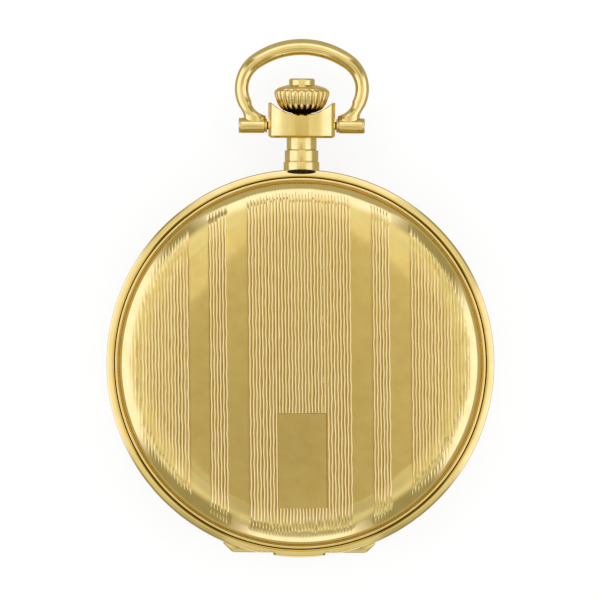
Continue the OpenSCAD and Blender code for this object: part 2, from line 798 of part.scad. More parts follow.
module main_plate() {
    color(BRASS)
    difference() {
        translate([0, 0, plate_z])
            cylinder(r = movement_r, h = plate_h, $fn = BIG_FN);
        translate([0, 0, floor_top])
            cylinder(r = movement_r - 1.2, h = plate_h, $fn = BIG_FN);
        for (p = [centre_at, third_at, fourth_at, escape_at, pallet_at, balance_at])
            at(p)
                bar(JEWEL_R + fit, plate_z - 1, plate_top + 1);
        for (p = [minute_at, setting_at])
            at(p)
                bar(STUD_R + fit, plate_z - 1, plate_top + 1);
        at(barrel_at)
            bar(ARBOR_END_R + fit, plate_z - 1, plate_top + 1);
        translate([-2, winding_y - 3.1, plate_z - 1])
            cube([4, movement_r, plate_h + 2]);
        for (p = concat(barrel_feet, train_feet, [cock_foot_at, pallet_foot_at]))
            at(p)
                bar(SCREW_HOLE_R, plate_z - 1, floor_top + 1);
        for (p = dial_feet)
            at(p)
                bar(DIAL_FOOT_R + fit, plate_z - 1, floor_top + 1);
    }
}

// Plan of the bridges, which share one straight edge between them
bridge_edge = -2.1;
bridge_r = movement_r - 0.25;

// Plan of the recess for the ratchet wheel, its click and the click spring
module winding_plan() {
    translate(barrel_at) {
        circle(r = ratchet_r + winding_m + WHEEL_PLAY, $fn = BIG_FN);
        polygon(window(ratchet_r - 0.5, ratchet_r + 2.5, -46, 14));
    }
}

module barrel_bridge() {
    slot_y = winding_y - 1.6;
    crown_recess_r = pitch_r(CROWN_WHEEL_T, winding_m) + winding_m + WHEEL_PLAY;
    color(BRASS)
    difference() {
        union() {
            intersection() {
                translate([0, 0, bridge_z])
                    cylinder(r = bridge_r, h = bridge_t, $fn = BIG_FN);
                translate([-case_r, bridge_edge, 0])
                    cube([case_d, case_r, case_r]);
            }
            for (p = barrel_feet)
                at(p)
                    bar(FOOT_R, bridge_top - 0.1, plate_z);
        }
        for (p = barrel_feet)
            at(p) {
                bar(SCREW_HOLE_R, bridge_z - 1, plate_z + 1);
                bar(SCREW_R + 0.05, bridge_z - 1, bridge_z + SCREW_HEAD_H);
            }
        at(centre_at)
            bar(0.75, bridge_z - 1, bridge_top + 1);
        at(barrel_at)
            bar(arbor_r - 0.05 + fit, bridge_z - 1, bridge_top + 1);
        translate([-2.1, slot_y, bridge_z - 1])
            cube([4.2, 5, bridge_t + 2]);
        translate([0, 0, bridge_z - 1])
            linear_extrude(1 + recess_h)
                winding_plan();
        at(crown_wheel_at) {
            bar(crown_recess_r, bridge_z - 1, bridge_z + recess_h + 0.2);
            bar(SCREW_HOLE_R, bridge_z - 1, bridge_top + 1);
        }
    }
}

module train_bridge() {
    color(BRASS)
    difference() {
        union() {
            difference() {
                intersection() {
                    translate([0, 0, bridge_z])
                        cylinder(r = bridge_r, h = bridge_t, $fn = BIG_FN);
                    translate([-case_r, -case_r, 0])
                        cube([case_r + 5.4, case_r + bridge_edge - 0.2, case_r]);
                }
                at(balance_at)
                    bar(balance_r + 0.4, 0, case_r);
                translate([2.6, balance_at[1] + 3.2, 0])
                    cube([8, 8, case_r]);
            }
            for (p = train_feet)
                at(p)
                    bar(FOOT_R, bridge_top - 0.1, plate_z);
        }
        for (p = train_feet)
            at(p) {
                bar(SCREW_HOLE_R, bridge_z - 1, plate_z + 1);
                bar(SCREW_R + 0.05, bridge_z - 1, bridge_z + SCREW_HEAD_H);
            }
        for (p = [third_at, fourth_at, escape_at])
            at(p)
                bar(0.6, bridge_z - 1, bridge_top + 1);
    }
}

pallet_level = bridge_top + 1.3;
pallet_t = 0.3;
cock_z = bridge_z - 0.6;
cock_t = 0.8;
cock_foot_r = 1.6;

// Outline of an arm with round ends between two places
function arm_outline(p, q, r1, r2) =
    let (line = bearing(p, q), a = acos((r1 - r2) / norm(q - p)))
    concat([for (i = [0:14]) p + polar(r1, line + a + (360 - 2 * a) * i / 14)],
           [for (i = [0:14]) q + polar(r2, line - a + 2 * a * i / 14)]);

module arm(p, q, r1, r2, z, t) {
    translate([0, 0, z])
        linear_extrude(t)
            polygon(arm_outline(p, q, r1, r2));
}

module pallet_cock() {
    color(BRASS)
    difference() {
        union() {
            arm(pallet_at, pallet_foot_at, 0.8, 1.1, pallet_level - 0.6, 0.45);
            at(pallet_foot_at)
                bar(0.95, pallet_level - 0.3, plate_z);
        }
        at(pallet_at)
            bar(0.35, pallet_level - 1, pallet_level + 1);
        at(pallet_foot_at)
            bar(SCREW_HOLE_R, pallet_level - 1, plate_z + 1);
    }
}

module balance_cock() {
    color(BRASS)
    difference() {
        union() {
            arm(cock_foot_at, balance_at, cock_foot_r, 1.5, cock_z, cock_t);
            at(cock_foot_at)
                bar(cock_foot_r - 0.15, cock_z + 0.1, plate_z);
        }
        at(balance_at)
            bar(0.6, cock_z - 1, cock_z + 2);
        at(cock_foot_at) {
            bar(SCREW_HOLE_R, cock_z - 1, plate_z + 1);
            bar(SCREW_R + 0.05, cock_z - 1, cock_z + SCREW_HEAD_H);
        }
    }
}

module bridge_screws() {
    length = plate_z - bridge_z + floor_t - 0.6;
    color(BLUED) {
        for (p = concat(barrel_feet, train_feet))
            slot_screw(p, SCREW_R, bridge_z - 0.02, SCREW_HEAD_H, SHANK_R, length);
        slot_screw(cock_foot_at, SCREW_R, cock_z - 0.02, SCREW_HEAD_H, SHANK_R, length + bridge_z - cock_z);
        slot_screw(pallet_foot_at, 0.65, pallet_level - 0.9, 0.28, SHANK_R, plate_z + 1.3 - pallet_level);
        slot_screw(crown_wheel_at, 1.1, winding_level - 0.33, 0.3, SHANK_R, bridge_t + 0.2);
    }
}

// Ring of ruby that an arbor turns in
module jewel(p, out, hole, z1, z2) {
    at(p)
        difference() {
            bar(out, z1, z2);
            bar(hole + fit, z1 - 1, z2 + 1);
        }
}

PIVOT_R = 0.2;
FINE_PIVOT_R = 0.15;
CENTRE_ARBOR_R = 0.45;

module jewels() {
    color(RUBY) {
        for (p = [third_at, fourth_at, escape_at])
            jewel(p, JEWEL_R, PIVOT_R, plate_z + 0.1, floor_top - 0.1);
        for (p = [pallet_at, balance_at])
            jewel(p, JEWEL_R, FINE_PIVOT_R, plate_z + 0.1, floor_top - 0.1);
        jewel(centre_at, JEWEL_R, CENTRE_ARBOR_R, plate_z + 0.1, floor_top - 0.1);
        jewel(centre_at, JEWEL_R, CENTRE_ARBOR_R, bridge_z + 0.05, bridge_top - 0.05);
        for (p = [third_at, fourth_at, escape_at])
            jewel(p, SMALL_JEWEL_R, PIVOT_R, bridge_z + 0.05, bridge_top - 0.05);
        jewel(balance_at, SMALL_JEWEL_R, FINE_PIVOT_R, cock_z + 0.05, cock_z + cock_t - 0.05);
        jewel(pallet_at, 0.33, FINE_PIVOT_R, pallet_level - 0.55, pallet_level - 0.2);
    }
}

arbor_r = 1.3;
drum_r = pitch_r(BARREL_T, barrel_m) - 2 * barrel_m - 0.05;
drum_wall = 0.3;

module barrel() {
    color(BRASS)
    at(barrel_at)
        difference() {
            union() {
                bar(drum_r, barrel_level, barrel_level + barrel_h);
                translate([0, 0, barrel_level + barrel_h - 0.5])
                    linear_extrude(0.5)
                        polygon(teeth(BARREL_T, barrel_m, barrel_phase, 0.9, 1.3));
            }
            bar(drum_r - drum_wall, barrel_level + 0.25, barrel_level + barrel_h - 0.2);
            bar(ARBOR_END_R + fit, barrel_level - 1, barrel_level + barrel_h + 1);
        }
}

// Spiral ribbon as one unbroken strip, flat in the plane
function spiral(r1, r2, turns, steps, off) =
    [for (i = [0:turns * steps]) polar(r1 + (r2 - r1) * i / (turns * steps) + off, 360 * i / steps)];

module spiral_strip(r1, r2, turns, steps, t, z, h) {
    outer = spiral(r1, r2, turns, steps, t / 2);
    inner = spiral(r1, r2, turns, steps, -t / 2);
    n = turns * steps;
    translate([0, 0, z])
        linear_extrude(h)
            polygon(concat(outer, [for (i = [n:-1:0]) inner[i]]));
}

module mainspring() {
    color(STEEL)
        at(barrel_at)
            spiral_strip(arbor_r + 0.3, drum_r - drum_wall - 0.2, 6, 24, 0.2,
                         barrel_level + 0.3, barrel_h - 0.55);
}

module barrel_arbor() {
    color(STEEL)
        at(barrel_at) {
            bar(arbor_r, barrel_level + 0.28, barrel_level + barrel_h - 0.24);
            bar(ARBOR_END_R, winding_level + 0.02, floor_top - 0.1);
            bar(arbor_r - 0.05, bridge_z + recess_h + 0.02, bridge_top);
        }
}

recess_h = 0.55;
winding_level = bridge_z + 0.03;
winding_t = 0.45;

module ratchet_wheel() {
    color(STEEL)
        at(barrel_at) {
            translate([0, 0, winding_level])
                linear_extrude(winding_t)
                    difference() {
                        polygon(teeth(RATCHET_T, winding_m, ratchet_phase, 0.8, 1.3));
                        shaft_hole(ARBOR_END_R);
                    }
            translate([0, 0, winding_level - 0.25])
                difference() {
                    cylinder(r = 1.5, h = 0.25);
                    translate([-2, -0.15, -1])
                        cube([4, 0.3, 1.12]);
                }
        }
}

module crown_wheel() {
    color(STEEL)
        at(crown_wheel_at)
            translate([0, 0, winding_level])
                linear_extrude(winding_t + 0.2)
                    difference() {
                        polygon(teeth(CROWN_WHEEL_T, winding_m, crown_wheel_phase, 0.8, 1.3));
                        shaft_hole(0.45);
                    }
}

click_at = barrel_at + polar(ratchet_r + 1.5, -32);

module click() {
    tip = ratchet_r + winding_m + WHEEL_PLAY;
    color(STEEL)
    translate([0, 0, winding_level])
        linear_extrude(0.4)
            difference() {
                union() {
                    translate(click_at)
                        circle(r = 0.75, $fn = 12);
                    polygon([click_at + polar(0.7, 150), click_at + polar(0.7, -30),
                             barrel_at + polar(tip + 0.5, -18), barrel_at + polar(tip, -18)]);
                }
                translate(click_at)
                    circle(r = 0.36, $fn = 12);
            }
}

module click_spring() {
    color(STEEL)
        translate([0, 0, winding_level])
            linear_extrude(0.4)
                polygon([for (a = [0:4]) barrel_at + polar(ratchet_r + 2.15 - 0.06 * a, -22 + 8 * a),
                         for (a = [4:-1:0]) barrel_at + polar(ratchet_r + 1.95 - 0.06 * a, -22 + 8 * a)]);
}

// Pinions on the stem, as toothed discs square to Y
module stem_pinion(n, r, y1, y2) {
    depth = r * 0.2;
    hole = stem_r * 0.66 + fit;
    translate([0, y2, mid_z])
        rotate([90, 0, 0])
            linear_extrude(y2 - y1)
                difference() {
                    polygon([for (i = [0:n - 1])
                                for (k = [[-depth, -0.27], [0, -0.12], [0, 0.12], [-depth, 0.27]])
                                    polar(r + k[0], (i + k[1]) * 360 / n)]);
                    square([2 * hole, 2 * hole], center = true);
                }
}

module winding_pinion() {
    color(STEEL)
        stem_pinion(WINDING_T, 1.88, winding_y - 0.55, winding_y + 0.45);
}

module sliding_pinion() {
    color(STEEL)
        stem_pinion(12, 1.2, winding_y - 1.85, winding_y - 0.6);
}

lever_level = floor_top + 0.05;

module setting_lever() {
    pivot = [3.6, movement_r - 2.75];
    color(STEEL)
    difference() {
        arm(pivot, [2.5, winding_y - 0.4], 0.8, 0.45, lever_level, 0.35);
        at(pivot)
            bar(0.35, lever_level - 1, lever_level + 1);
    }
}

module yoke_lever() {
    pivot = [-5.2, winding_y - 0.8];
    color(STEEL)
    difference() {
        arm(pivot, [-1.3, winding_y - 1.2], 0.8, 0.4, lever_level, 0.35);
        at(pivot)
            bar(0.35, lever_level - 1, lever_level + 1);
    }
}

module setting_wheel() {
    color(STEEL)
        at(setting_at) {
            pinion(SETTING_T, motion_m, setting_phase, floor_top + 0.05, 0.25, 0.4);
            bar(STUD_R, plate_z + 0.1, floor_top + 0.35);
        }
}

module cannon_pinion() {
    color(STEEL)
        difference() {
            union() {
                pinion(CANNON_T, motion_m, 0, floor_top + 0.05, 0.3, 0.5);
                bar(0.62, floor_top + 0.02, minute_z + hand_t + 0.05);
            }
            bar(CENTRE_ARBOR_R - 0.1, floor_top - 1, minute_z + 2);
        }
}

module minute_wheel() {
    color(BRASS)
        at(minute_at) {
            pinion(MINUTE_T, motion_m, minute_phase, floor_top + 0.05, 0.25, 0.4);
            pinion(MINUTE_PINION_T, motion_m, minute_pinion_phase, floor_top + 0.3, 0.35, 0.4);
            bar(STUD_R, plate_z + 0.1, floor_top + 0.65);
        }
}

module hour_wheel() {
    color(BRASS) {
        translate([0, 0, floor_top + 0.38])
            linear_extrude(0.22)
                difference() {
                    polygon(teeth(HOUR_T, motion_m, hour_phase, 0.8, 1.3));
                    circle(r = 0.95, $fn = 12);
                }
        difference() {
            bar(0.9, floor_top + 0.38, hour_z + hand_t + 0.03);
            bar(0.66, floor_top, hour_z + 1);
        }
    }
}

// Train wheel: toothed wheel, pinion and shaft of one axis
module train_wheel(p, n, m, phase, z, pn, pm, pphase, pz, spokes) {
    at(p) {
        color(BRASS)
            spoked_wheel(n, m, phase, z, wheel_t, PIVOT_R, spokes);
        color(STEEL)
            pinion(pn, pm, pphase, pz, pinion_h, PIVOT_R);
        color(STEEL)
            bar(PIVOT_R, bridge_z + 0.1, floor_top - 0.2);
    }
}

module centre_wheel() {
    color(BRASS)
        spoked_wheel(CENTRE_T, centre_m, centre_phase, centre_level, wheel_t, CENTRE_ARBOR_R, 5);
    color(STEEL)
        pinion(CENTRE_PINION_T, barrel_m, centre_pinion_phase, barrel_level + barrel_h - 0.6,
               0.6, CENTRE_ARBOR_R);
    color(STEEL)
        difference() {
            bar(CENTRE_ARBOR_R, bridge_z + 0.1, floor_top);
            bar(0.1, bridge_z - 1, bridge_z + 0.3);
        }
    color(STEEL)
        bar(CENTRE_ARBOR_R - 0.1 - fit, floor_top, minute_z + hand_t);
}

module third_wheel() {
    train_wheel(third_at, THIRD_T, third_m, third_phase, third_level, THIRD_PINION_T, centre_m,
                third_pinion_phase, centre_level - 0.1, 5);
}

module fourth_wheel() {
    train_wheel(fourth_at, FOURTH_T, fourth_m, fourth_phase, fourth_level, FOURTH_PINION_T, third_m,
                fourth_pinion_phase, third_level - 0.14, 5);
    color(STEEL)
        at(fourth_at)
            bar(PIVOT_R - 0.05, floor_top - 0.2, second_z + hand_t);
}

module escape_wheel() {
    step = 360 / ESCAPE_T;
    root = escape_r * 0.75;
    color(STEEL)
        at(escape_at) {
            translate([0, 0, pallet_level])
                linear_extrude(0.25)
                    difference() {
                        polygon([for (i = [0:ESCAPE_T - 1])
                                    for (k = [[root, 0], [escape_r, 0.32],
                                              [escape_r - 0.05, 0.42], [root, 0.3]])
                                        polar(k[0], step * (i + k[1]))]);
                        shaft_hole(PIVOT_R);
                        for (i = [0:3])
                            polygon(window(0.7, 1.4, 90 * i + 12, 90 * i + 78));
                    }
            pinion(ESCAPE_PINION_T, fourth_m, escape_pinion_phase, fourth_level - 0.15, 0.6, PIVOT_R);
            bar(PIVOT_R, bridge_z + 0.1, floor_top - 0.2);
        }
}

// Anchor with two ruby stones, drawn just outside the escape wheel's tips
module pallet_fork() {
    line = bearing(escape_at, balance_at);
    stone_r = escape_r + 0.08;
    reach = norm(balance_at - pallet_at) - 1.1;
    color(STEEL)
        translate([0, 0, pallet_level])
            linear_extrude(pallet_t)
                difference() {
                    union() {
                        polygon([for (i = [-4:4]) escape_at + polar(stone_r + 0.12, line + 8.5 * i),
                                 for (i = [4:-1:-4]) escape_at + polar(stone_r + 0.55, line + 8.5 * i)]);
                        polygon([pallet_at + polar(0.55, line + 90), pallet_at + polar(0.55, line - 90),
                                 pallet_at + polar(reach, line - 4), pallet_at + polar(reach, line + 4)]);
                    }
                    translate(pallet_at)
                        circle(r = 0.19, $fn = 12);
                }
    color(STEEL)
        at(pallet_at)
            bar(FINE_PIVOT_R, pallet_level - 0.5, floor_top - 0.2);
}

balance_level = bridge_top - 0.35;

module balance_wheel() {
    rim_t = 0.55;
    color(BRASS)
        at(balance_at)
            difference() {
                bar(balance_r, balance_level, balance_level + 0.5);
                for (s = [0, 1])
                    rotate([0, 0, 180 * s])
                        intersection() {
                            bar(balance_r - rim_t, balance_level - 1, balance_level + 1);
                            translate([-balance_r, 0.35, balance_level - 1])
                                cube([2 * balance_r, balance_r, 3]);
                        }
                bar(0.2, balance_level - 1, balance_level + 1);
            }
    color(BRASS)
        at(balance_at)
            for (i = [0:15])
                rotate([0, 0, 22.5 * i + 11.25])
                    translate([balance_r + 0.01, 0, balance_level + 0.25])
                        rotate([0, 90, 0])
                            cylinder(r = 0.17, h = 0.3, $fn = 16);
    color(STEEL)
        at(balance_at) {
            bar(FINE_PIVOT_R, cock_z + 0.1, floor_top - 0.2);
            difference() {
                bar(0.55, balance_level + 0.55, balance_level + 0.8);
                bar(0.17, balance_level, balance_level + 2);
            }
        }
}

spring_turns = 5;
spring_from = 0.75;
spring_to = 3.4;
spring_strip = 0.1;
SPRING_STEPS = 16;

module hairspring() {
    color(BLUED)
        at(balance_at)
            spiral_strip(spring_from, spring_to, spring_turns, SPRING_STEPS, spring_strip,
                         cock_z + cock_t + 0.04, 0.2);
}

inner_line = spiral(spring_from, spring_to, spring_turns, SPRING_STEPS, spring_strip / 2);
outer_line = spiral(spring_from, spring_to, spring_turns, SPRING_STEPS, -spring_strip / 2);
least_gap = min([for (i = [0:(spring_turns - 1) * SPRING_STEPS])
                    norm(outer_line[i + SPRING_STEPS] - inner_line[i])]);
echo(hairspring_least_gap_mm = least_gap);

module regulator() {
    line = bearing(balance_at, cock_foot_at);
    color(STEEL)
        translate([0, 0, cock_z - 0.3])
            linear_extrude(0.25)
                difference() {
                    union() {
                        translate(balance_at)
                            circle(r = 1.15);
                        polygon([balance_at + polar(1, line + 60), balance_at + polar(1, line + 20),
                                 balance_at + polar(3.6, line + 27), balance_at + polar(3.6, line + 30)]);
                    }
                    translate(balance_at)
                        circle(r = 0.7);
                }
}

module dial() {
    color("ivory")
        difference() {
            union() {
                translate([0, 0, plate_top])
                    cylinder(r = dial_d / 2, h = dial_t, $fn = BIG_FN);
                for (p = dial_feet)
                    at(p)
                        bar(DIAL_FOOT_R, floor_top - 0.6, plate_top + 0.1);
            }
            bar(1.2, plate_top - 1, dial_top + 1);
            at(fourth_at) {
                bar(0.4, plate_top - 1, dial_top + 1);
                bar(second_len + 0.9, dial_top - 0.1, dial_top + 1);
            }
        }
}

// Flat tapering hand that points along an angle from its hub
module hand(len, tail, hub_r, hole_r, width, angle, z) {
    color(BLUED)
    translate([0, 0, z])
        rotate([0, 0, angle])
            linear_extrude(hand_t)
                difference() {
                    union() {
                        circle(r = hub_r);
                        polygon([[-tail, -width * 0.3], [len * 0.62, -width * 0.5], [len * 0.7, -width],
                                 [len, -0.06], [len, 0.06], [len * 0.7, width],
                                 [len * 0.62, width * 0.5], [-tail, width * 0.3]]);
                    }
                    circle(r = hole_r);
                }
}

// Hands stand at eight minutes past ten
HOUR_ANGLE = 90 - 304;
MINUTE_ANGLE = 90 - 48;
SECOND_ANGLE = 90 - 210;

module hour_hand() {
    hand(hour_len, 1.2, 1.5, 0.9 + fit, 0.75, HOUR_ANGLE, hour_z);
}

module minute_hand() {
    hand(minute_len, 1.2, 1.1, 0.62 + fit, 0.55, MINUTE_ANGLE, minute_z);
}

module second_hand() {
    at(fourth_at)
        hand(second_len, 1.1, 0.4, PIVOT_R - 0.05 + fit, 0.12, SECOND_ANGLE, second_z);
}

case_band();
pendant();
bow();
bow_screws();
front_lid();
front_hinge_pin();
back_cover();
back_hinge_pin();
bezel();
crystal();
crown();
winding_stem();
crown_seal();
lid_button();
push_rod();
cross_pin();
push_collar();
button_spring();
lock_spring();
lift_spring();
spring_screws();
movement_ring();
case_screws();
main_plate();
barrel_bridge();
train_bridge();
pallet_cock();
balance_cock();
bridge_screws();
jewels();
barrel();
mainspring();
barrel_arbor();
ratchet_wheel();
crown_wheel();
click();
click_spring();
winding_pinion();
sliding_pinion();
setting_lever();
yoke_lever();
setting_wheel();
cannon_pinion();
minute_wheel();
hour_wheel();
centre_wheel();
third_wheel();
fourth_wheel();
escape_wheel();
pallet_fork();
balance_wheel();
hairspring();
regulator();
dial();
hour_hand();
minute_hand();
second_hand();
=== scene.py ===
# %% [markdown]
# # A full hunter pocket watch
# A hunter case covers the crystal with a hinged metal lid. This one is polished gold plate over brass,
# with straight engine turning on the lid and a small blank panel left for initials. The lesson starts
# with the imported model, which fixes every size and place, and then dresses it piece by piece.

# %% The frame
import math
import random

import bmesh
import bpy
from mathutils import Matrix, Vector


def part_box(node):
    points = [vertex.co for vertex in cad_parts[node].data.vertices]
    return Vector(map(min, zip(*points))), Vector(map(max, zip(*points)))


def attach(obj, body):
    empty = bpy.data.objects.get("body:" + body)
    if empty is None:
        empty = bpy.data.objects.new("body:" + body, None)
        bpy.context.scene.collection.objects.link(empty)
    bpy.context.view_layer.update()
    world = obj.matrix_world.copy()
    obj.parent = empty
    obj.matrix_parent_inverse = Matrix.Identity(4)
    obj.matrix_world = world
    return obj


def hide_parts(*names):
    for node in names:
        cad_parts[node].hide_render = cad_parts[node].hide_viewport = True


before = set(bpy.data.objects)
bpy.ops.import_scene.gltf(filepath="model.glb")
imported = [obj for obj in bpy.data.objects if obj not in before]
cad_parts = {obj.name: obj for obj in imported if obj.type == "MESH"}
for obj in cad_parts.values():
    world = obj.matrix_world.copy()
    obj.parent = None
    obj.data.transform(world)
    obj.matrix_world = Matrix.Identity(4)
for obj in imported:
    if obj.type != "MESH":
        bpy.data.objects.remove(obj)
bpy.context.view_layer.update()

# %% [markdown]
# Every size below is in millimetres, as a watchmaker would give it, and one factor turns them to metres.
# Heights and centres are those of the solids, so the dressed pieces stay where the model says.

# %% Sizes shared by several pieces
MM = 0.001
MID_Z = 5.9
FRONT_SEAM = 9.4
BACK_SEAM = 2.4
HINGE_Y = -21.85
FRONT_HINGE_Z = 8.15
BACK_HINGE_Z = 3.65
PIVOT_Y = 28.8375
HEAD_Y = 27.35
scene = bpy.context.scene
lid_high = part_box("front_lid")[1]
print(f"lid: {lid_high.x / MM * 2:.1f} mm across, its top {lid_high.z / MM:.2f} mm up")

# %% [markdown]
# A few small helpers serve the whole scene. They turn a colour as it is usually written into the linear
# values that the renderer works in, add a node with its settings and links, and start a material. They make
# an object from points and faces, turn its faces outwards and keep only its real edges sharp.

# %% Helpers
# Points closer than this many metres are one point.
WELD_M = 1e-7


def linear(code):
    """An sRGB hex colour as linear red, green, blue and alpha."""
    parts = [int(code[i:i + 2], 16) / 255 for i in (1, 3, 5)]
    return [c / 12.92 if c <= 0.04045 else ((c + 0.055) / 1.055) ** 2.4 for c in parts] + [1.0]


def add(tree, kind, sockets=None, **settings):
    """A new node: settings are its properties, sockets its inputs, each a value or an output to link."""
    made = tree.nodes.new(kind)
    for key, value in settings.items():
        setattr(made, key, value)
    for key, value in (sockets or {}).items():
        if isinstance(value, bpy.types.NodeSocket):
            tree.links.new(value, made.inputs[key])
        else:
            made.inputs[key].default_value = value
    return made


def started_material(name):
    """A new material, with its tree, its shader and the output that gives a point's place on the piece."""
    material = bpy.data.materials.new(name)
    material.use_nodes = True
    tree = material.node_tree
    place = add(tree, "ShaderNodeTexCoord").outputs["Object"]
    return material, tree, tree.nodes["Principled BSDF"], place


def in_scene(name, data):
    """A new object in the scene, at the origin."""
    made = bpy.data.objects.new(name, data)
    scene.collection.objects.link(made)
    return made


def smooth(piece, sharp):
    """Shades a piece smooth, apart from edges sharper than an angle in degrees."""
    piece.data.polygons.foreach_set("use_smooth", [True] * len(piece.data.polygons))
    piece.data.set_sharp_from_angle(angle=math.radians(sharp))
    return piece


def finish_mesh(piece, sharp=35):
    """Welds doubles, turns faces outwards and shades the piece."""
    work = bmesh.new()
    work.from_mesh(piece.data)
    bmesh.ops.remove_doubles(work, verts=work.verts, dist=WELD_M)
    bmesh.ops.recalc_face_normals(work, faces=work.faces)
    work.to_mesh(piece.data)
    work.free()
    return smooth(piece, sharp)


def piece_from(name, points_mm, faces, sharp=35, cuts=None):
    """An object from points in millimetres in the watch's own frame. cuts gives each point's painted shade.
    """
    mesh = bpy.data.meshes.new(name)
    mesh.from_pydata([(x * MM, y * MM, z * MM) for x, y, z in points_mm], [], faces)
    if cuts:
        mesh.attributes.new("cut", "FLOAT", "POINT").data.foreach_set("value", cuts)
    return finish_mesh(in_scene(name, mesh), sharp)


def dress(piece, body, slot, material, *nodes):
    """Gives a piece its material, its body and the solids that it stands for. The slot argument is not used.
    """
    piece.data.materials.clear()
    piece.data.materials.append(material)
    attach(piece, body)
    if nodes:
        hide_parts(*nodes)
    return piece


print("helpers ready")

# %% [markdown]
# Gold plate is a few microns of gold over polished brass. It is a bare metal, so its colour is all in the
# reflection: metallic is one and roughness is low. Buffing leaves broad shallow waves and hairlines, which
# a coarse and a fine noise give as small changes of tone and roughness and a very small bump. Recesses and
# gaps where shade falls get a dark brown gold, which is painted shade and makes them read as deep.

# %% Polished gold plate
# Real hairlines are a few microns wide. These are as coarse as they need to be to show, and twelve times
# as long as they are wide.
HAIRLINE_MM = 0.05
HAIRLINE_STRETCH = (1, 0.08, 1)


def metal_surface(tree, shader, surface, fine, tones, tone_span, gloss_ends, relief):
    """Makes a shader bare metal: its tones and bump follow one pattern, its roughness a finer one.

    tone_span is where in the pattern the tones start and end, gloss_ends the two ends of the roughness,
    and relief the height of the bump in millimetres and its strength.
    """
    shader.inputs["Metallic"].default_value = 1.0
    toned = add(tree, "ShaderNodeValToRGB", {"Fac": surface})
    for element, position, tone in zip(toned.color_ramp.elements, tone_span, tones):
        element.position = position
        element.color = linear(tone)
    gloss = add(tree, "ShaderNodeMapRange", {"Value": fine, "From Min": 0.3, "From Max": 0.7,
                                             "To Min": gloss_ends[0], "To Max": gloss_ends[1]})
    bump = add(tree, "ShaderNodeBump", {"Height": surface, "Distance": relief[0] * MM,
                                        "Strength": relief[1]})
    tree.links.new(toned.outputs["Color"], shader.inputs["Base Color"])
    tree.links.new(gloss.outputs["Result"], shader.inputs["Roughness"])
    tree.links.new(bump.outputs["Normal"], shader.inputs["Normal"])


def polished_metal(name, pale, deep, roughness, spread, wave_mm=1.6, wave_height_mm=0.0006):
    """A buffed metal: its tones follow the waves in its surface, its gloss the hairlines."""
    material, tree, shader, place = started_material(name)
    wave = add(tree, "ShaderNodeTexNoise", {"Vector": place, "Scale": 1 / (wave_mm * MM), "Detail": 2.0})
    stretched = add(tree, "ShaderNodeMapping", {"Vector": place, "Scale": HAIRLINE_STRETCH})
    hairline = add(tree, "ShaderNodeTexNoise", {"Vector": stretched.outputs[0],
                                                "Scale": 1 / (HAIRLINE_MM * MM), "Detail": 1.0})
    metal_surface(tree, shader, wave.outputs["Fac"], hairline.outputs["Fac"], (deep, pale), (0.3, 0.7),
                  (roughness - spread, roughness + spread), (wave_height_mm, 1.0))
    return material


gold_plate = polished_metal("polished_gold_plate", "#EBD486", "#E5CB7C", 0.07, 0.02, wave_height_mm=0.0003)
# A dark gold that stands for the shade in recesses and gaps: painted shade.
painted_shade_gold = polished_metal("gold_painted_shade", "#3A2D16", "#1D160B", 0.5, 0.1, wave_mm=0.4)
print("materials:", gold_plate.name, "and", painted_shade_gold.name)

# %% [markdown]
# Engine turning is cut before the plating, so the grooves are gold too. Their floors are painted a darker
# gold as painted shade, and made duller than the lands. The mesh carries each point's share of that painted
# shade as an attribute, and the material reads it to mix a darker, rougher gold into the grooves.

# %% Engine-turned gold plate
# The darker gold of the grooves is painted shade.
GROOVE_SHADE_TONE = "#8A6C2C"
CUT_ROUGHNESS = 0.14
engraved_gold = polished_metal("engine_turned_gold_plate", "#EBD486", "#E5CB7C", 0.042, 0.014,
                               wave_height_mm=0.00007)
tree = engraved_gold.node_tree
shader = tree.nodes["Principled BSDF"]
cut = add(tree, "ShaderNodeAttribute", attribute_name="cut").outputs["Fac"]
plain_colour = shader.inputs["Base Color"].links[0].from_socket
plain_gloss = shader.inputs["Roughness"].links[0].from_socket
# Mixes the painted shade into the groove floors.
groove_shade = add(tree, "ShaderNodeMix", {0: cut, 6: plain_colour, 7: linear(GROOVE_SHADE_TONE)}, data_type="RGBA")
dull = add(tree, "ShaderNodeMath", {0: cut, 1: CUT_ROUGHNESS, 2: plain_gloss}, operation="MULTIPLY_ADD")
tree.links.new(groove_shade.outputs[2], shader.inputs["Base Color"])
tree.links.new(dull.outputs[0], shader.inputs["Roughness"])
print("material:", engraved_gold.name)

# %% [markdown]
# Most parts of a case and a movement were turned on a lathe, so a lathe is the natural way to make them:
# a half section is spun round an axis. Most sections first get a small round at every corner, because no
# real edge is perfectly sharp and the highlights along edges are what makes metal look solid.

# %% The lathe
# A radius or an edge below this many millimetres counts as none.
AXIS = 1e-6
SMALL_ROUND = 0.05
# The largest share of an edge that the round at its end may take.
ROUND_SHARE = 0.4


def rounded(corners, radius, steps=3):
    """A closed section with each corner replaced by a short arc. Corners on the axis stay."""
    result = []
    count = len(corners)
    for i, corner in enumerate(corners):
        before, here, after = Vector(corners[i - 1]), Vector(corner), Vector(corners[(i + 1) % count])
        a, b = before - here, after - here
        if here.x < AXIS or a.length < AXIS or b.length < AXIS:
            result.append(tuple(here))
            continue
        reach = min(radius, a.length * ROUND_SHARE, b.length * ROUND_SHARE)
        start, end = here + a.normalized() * reach, here + b.normalized() * reach
        for k in range(steps + 1):
            t = k / steps
            point = start * (1 - t) ** 2 + here * 2 * t * (1 - t) + end * t ** 2
            result.append(tuple(point))
    return result


def about_z(centre):
    """Places for a lathe whose axis runs along Z through a centre (x, y). h is the way along the axis."""
    return lambda x, y, h: (centre[0] + x, centre[1] + y, h)


def about_y(centre):
    """The same along Y, through a centre (x, z)."""
    return lambda x, y, h: (centre[0] + x, h, centre[1] + y)


def about_x(centre):
    """The same along X, through a centre (y, z)."""
    return lambda x, y, h: (h, centre[0] + x, centre[1] + y)


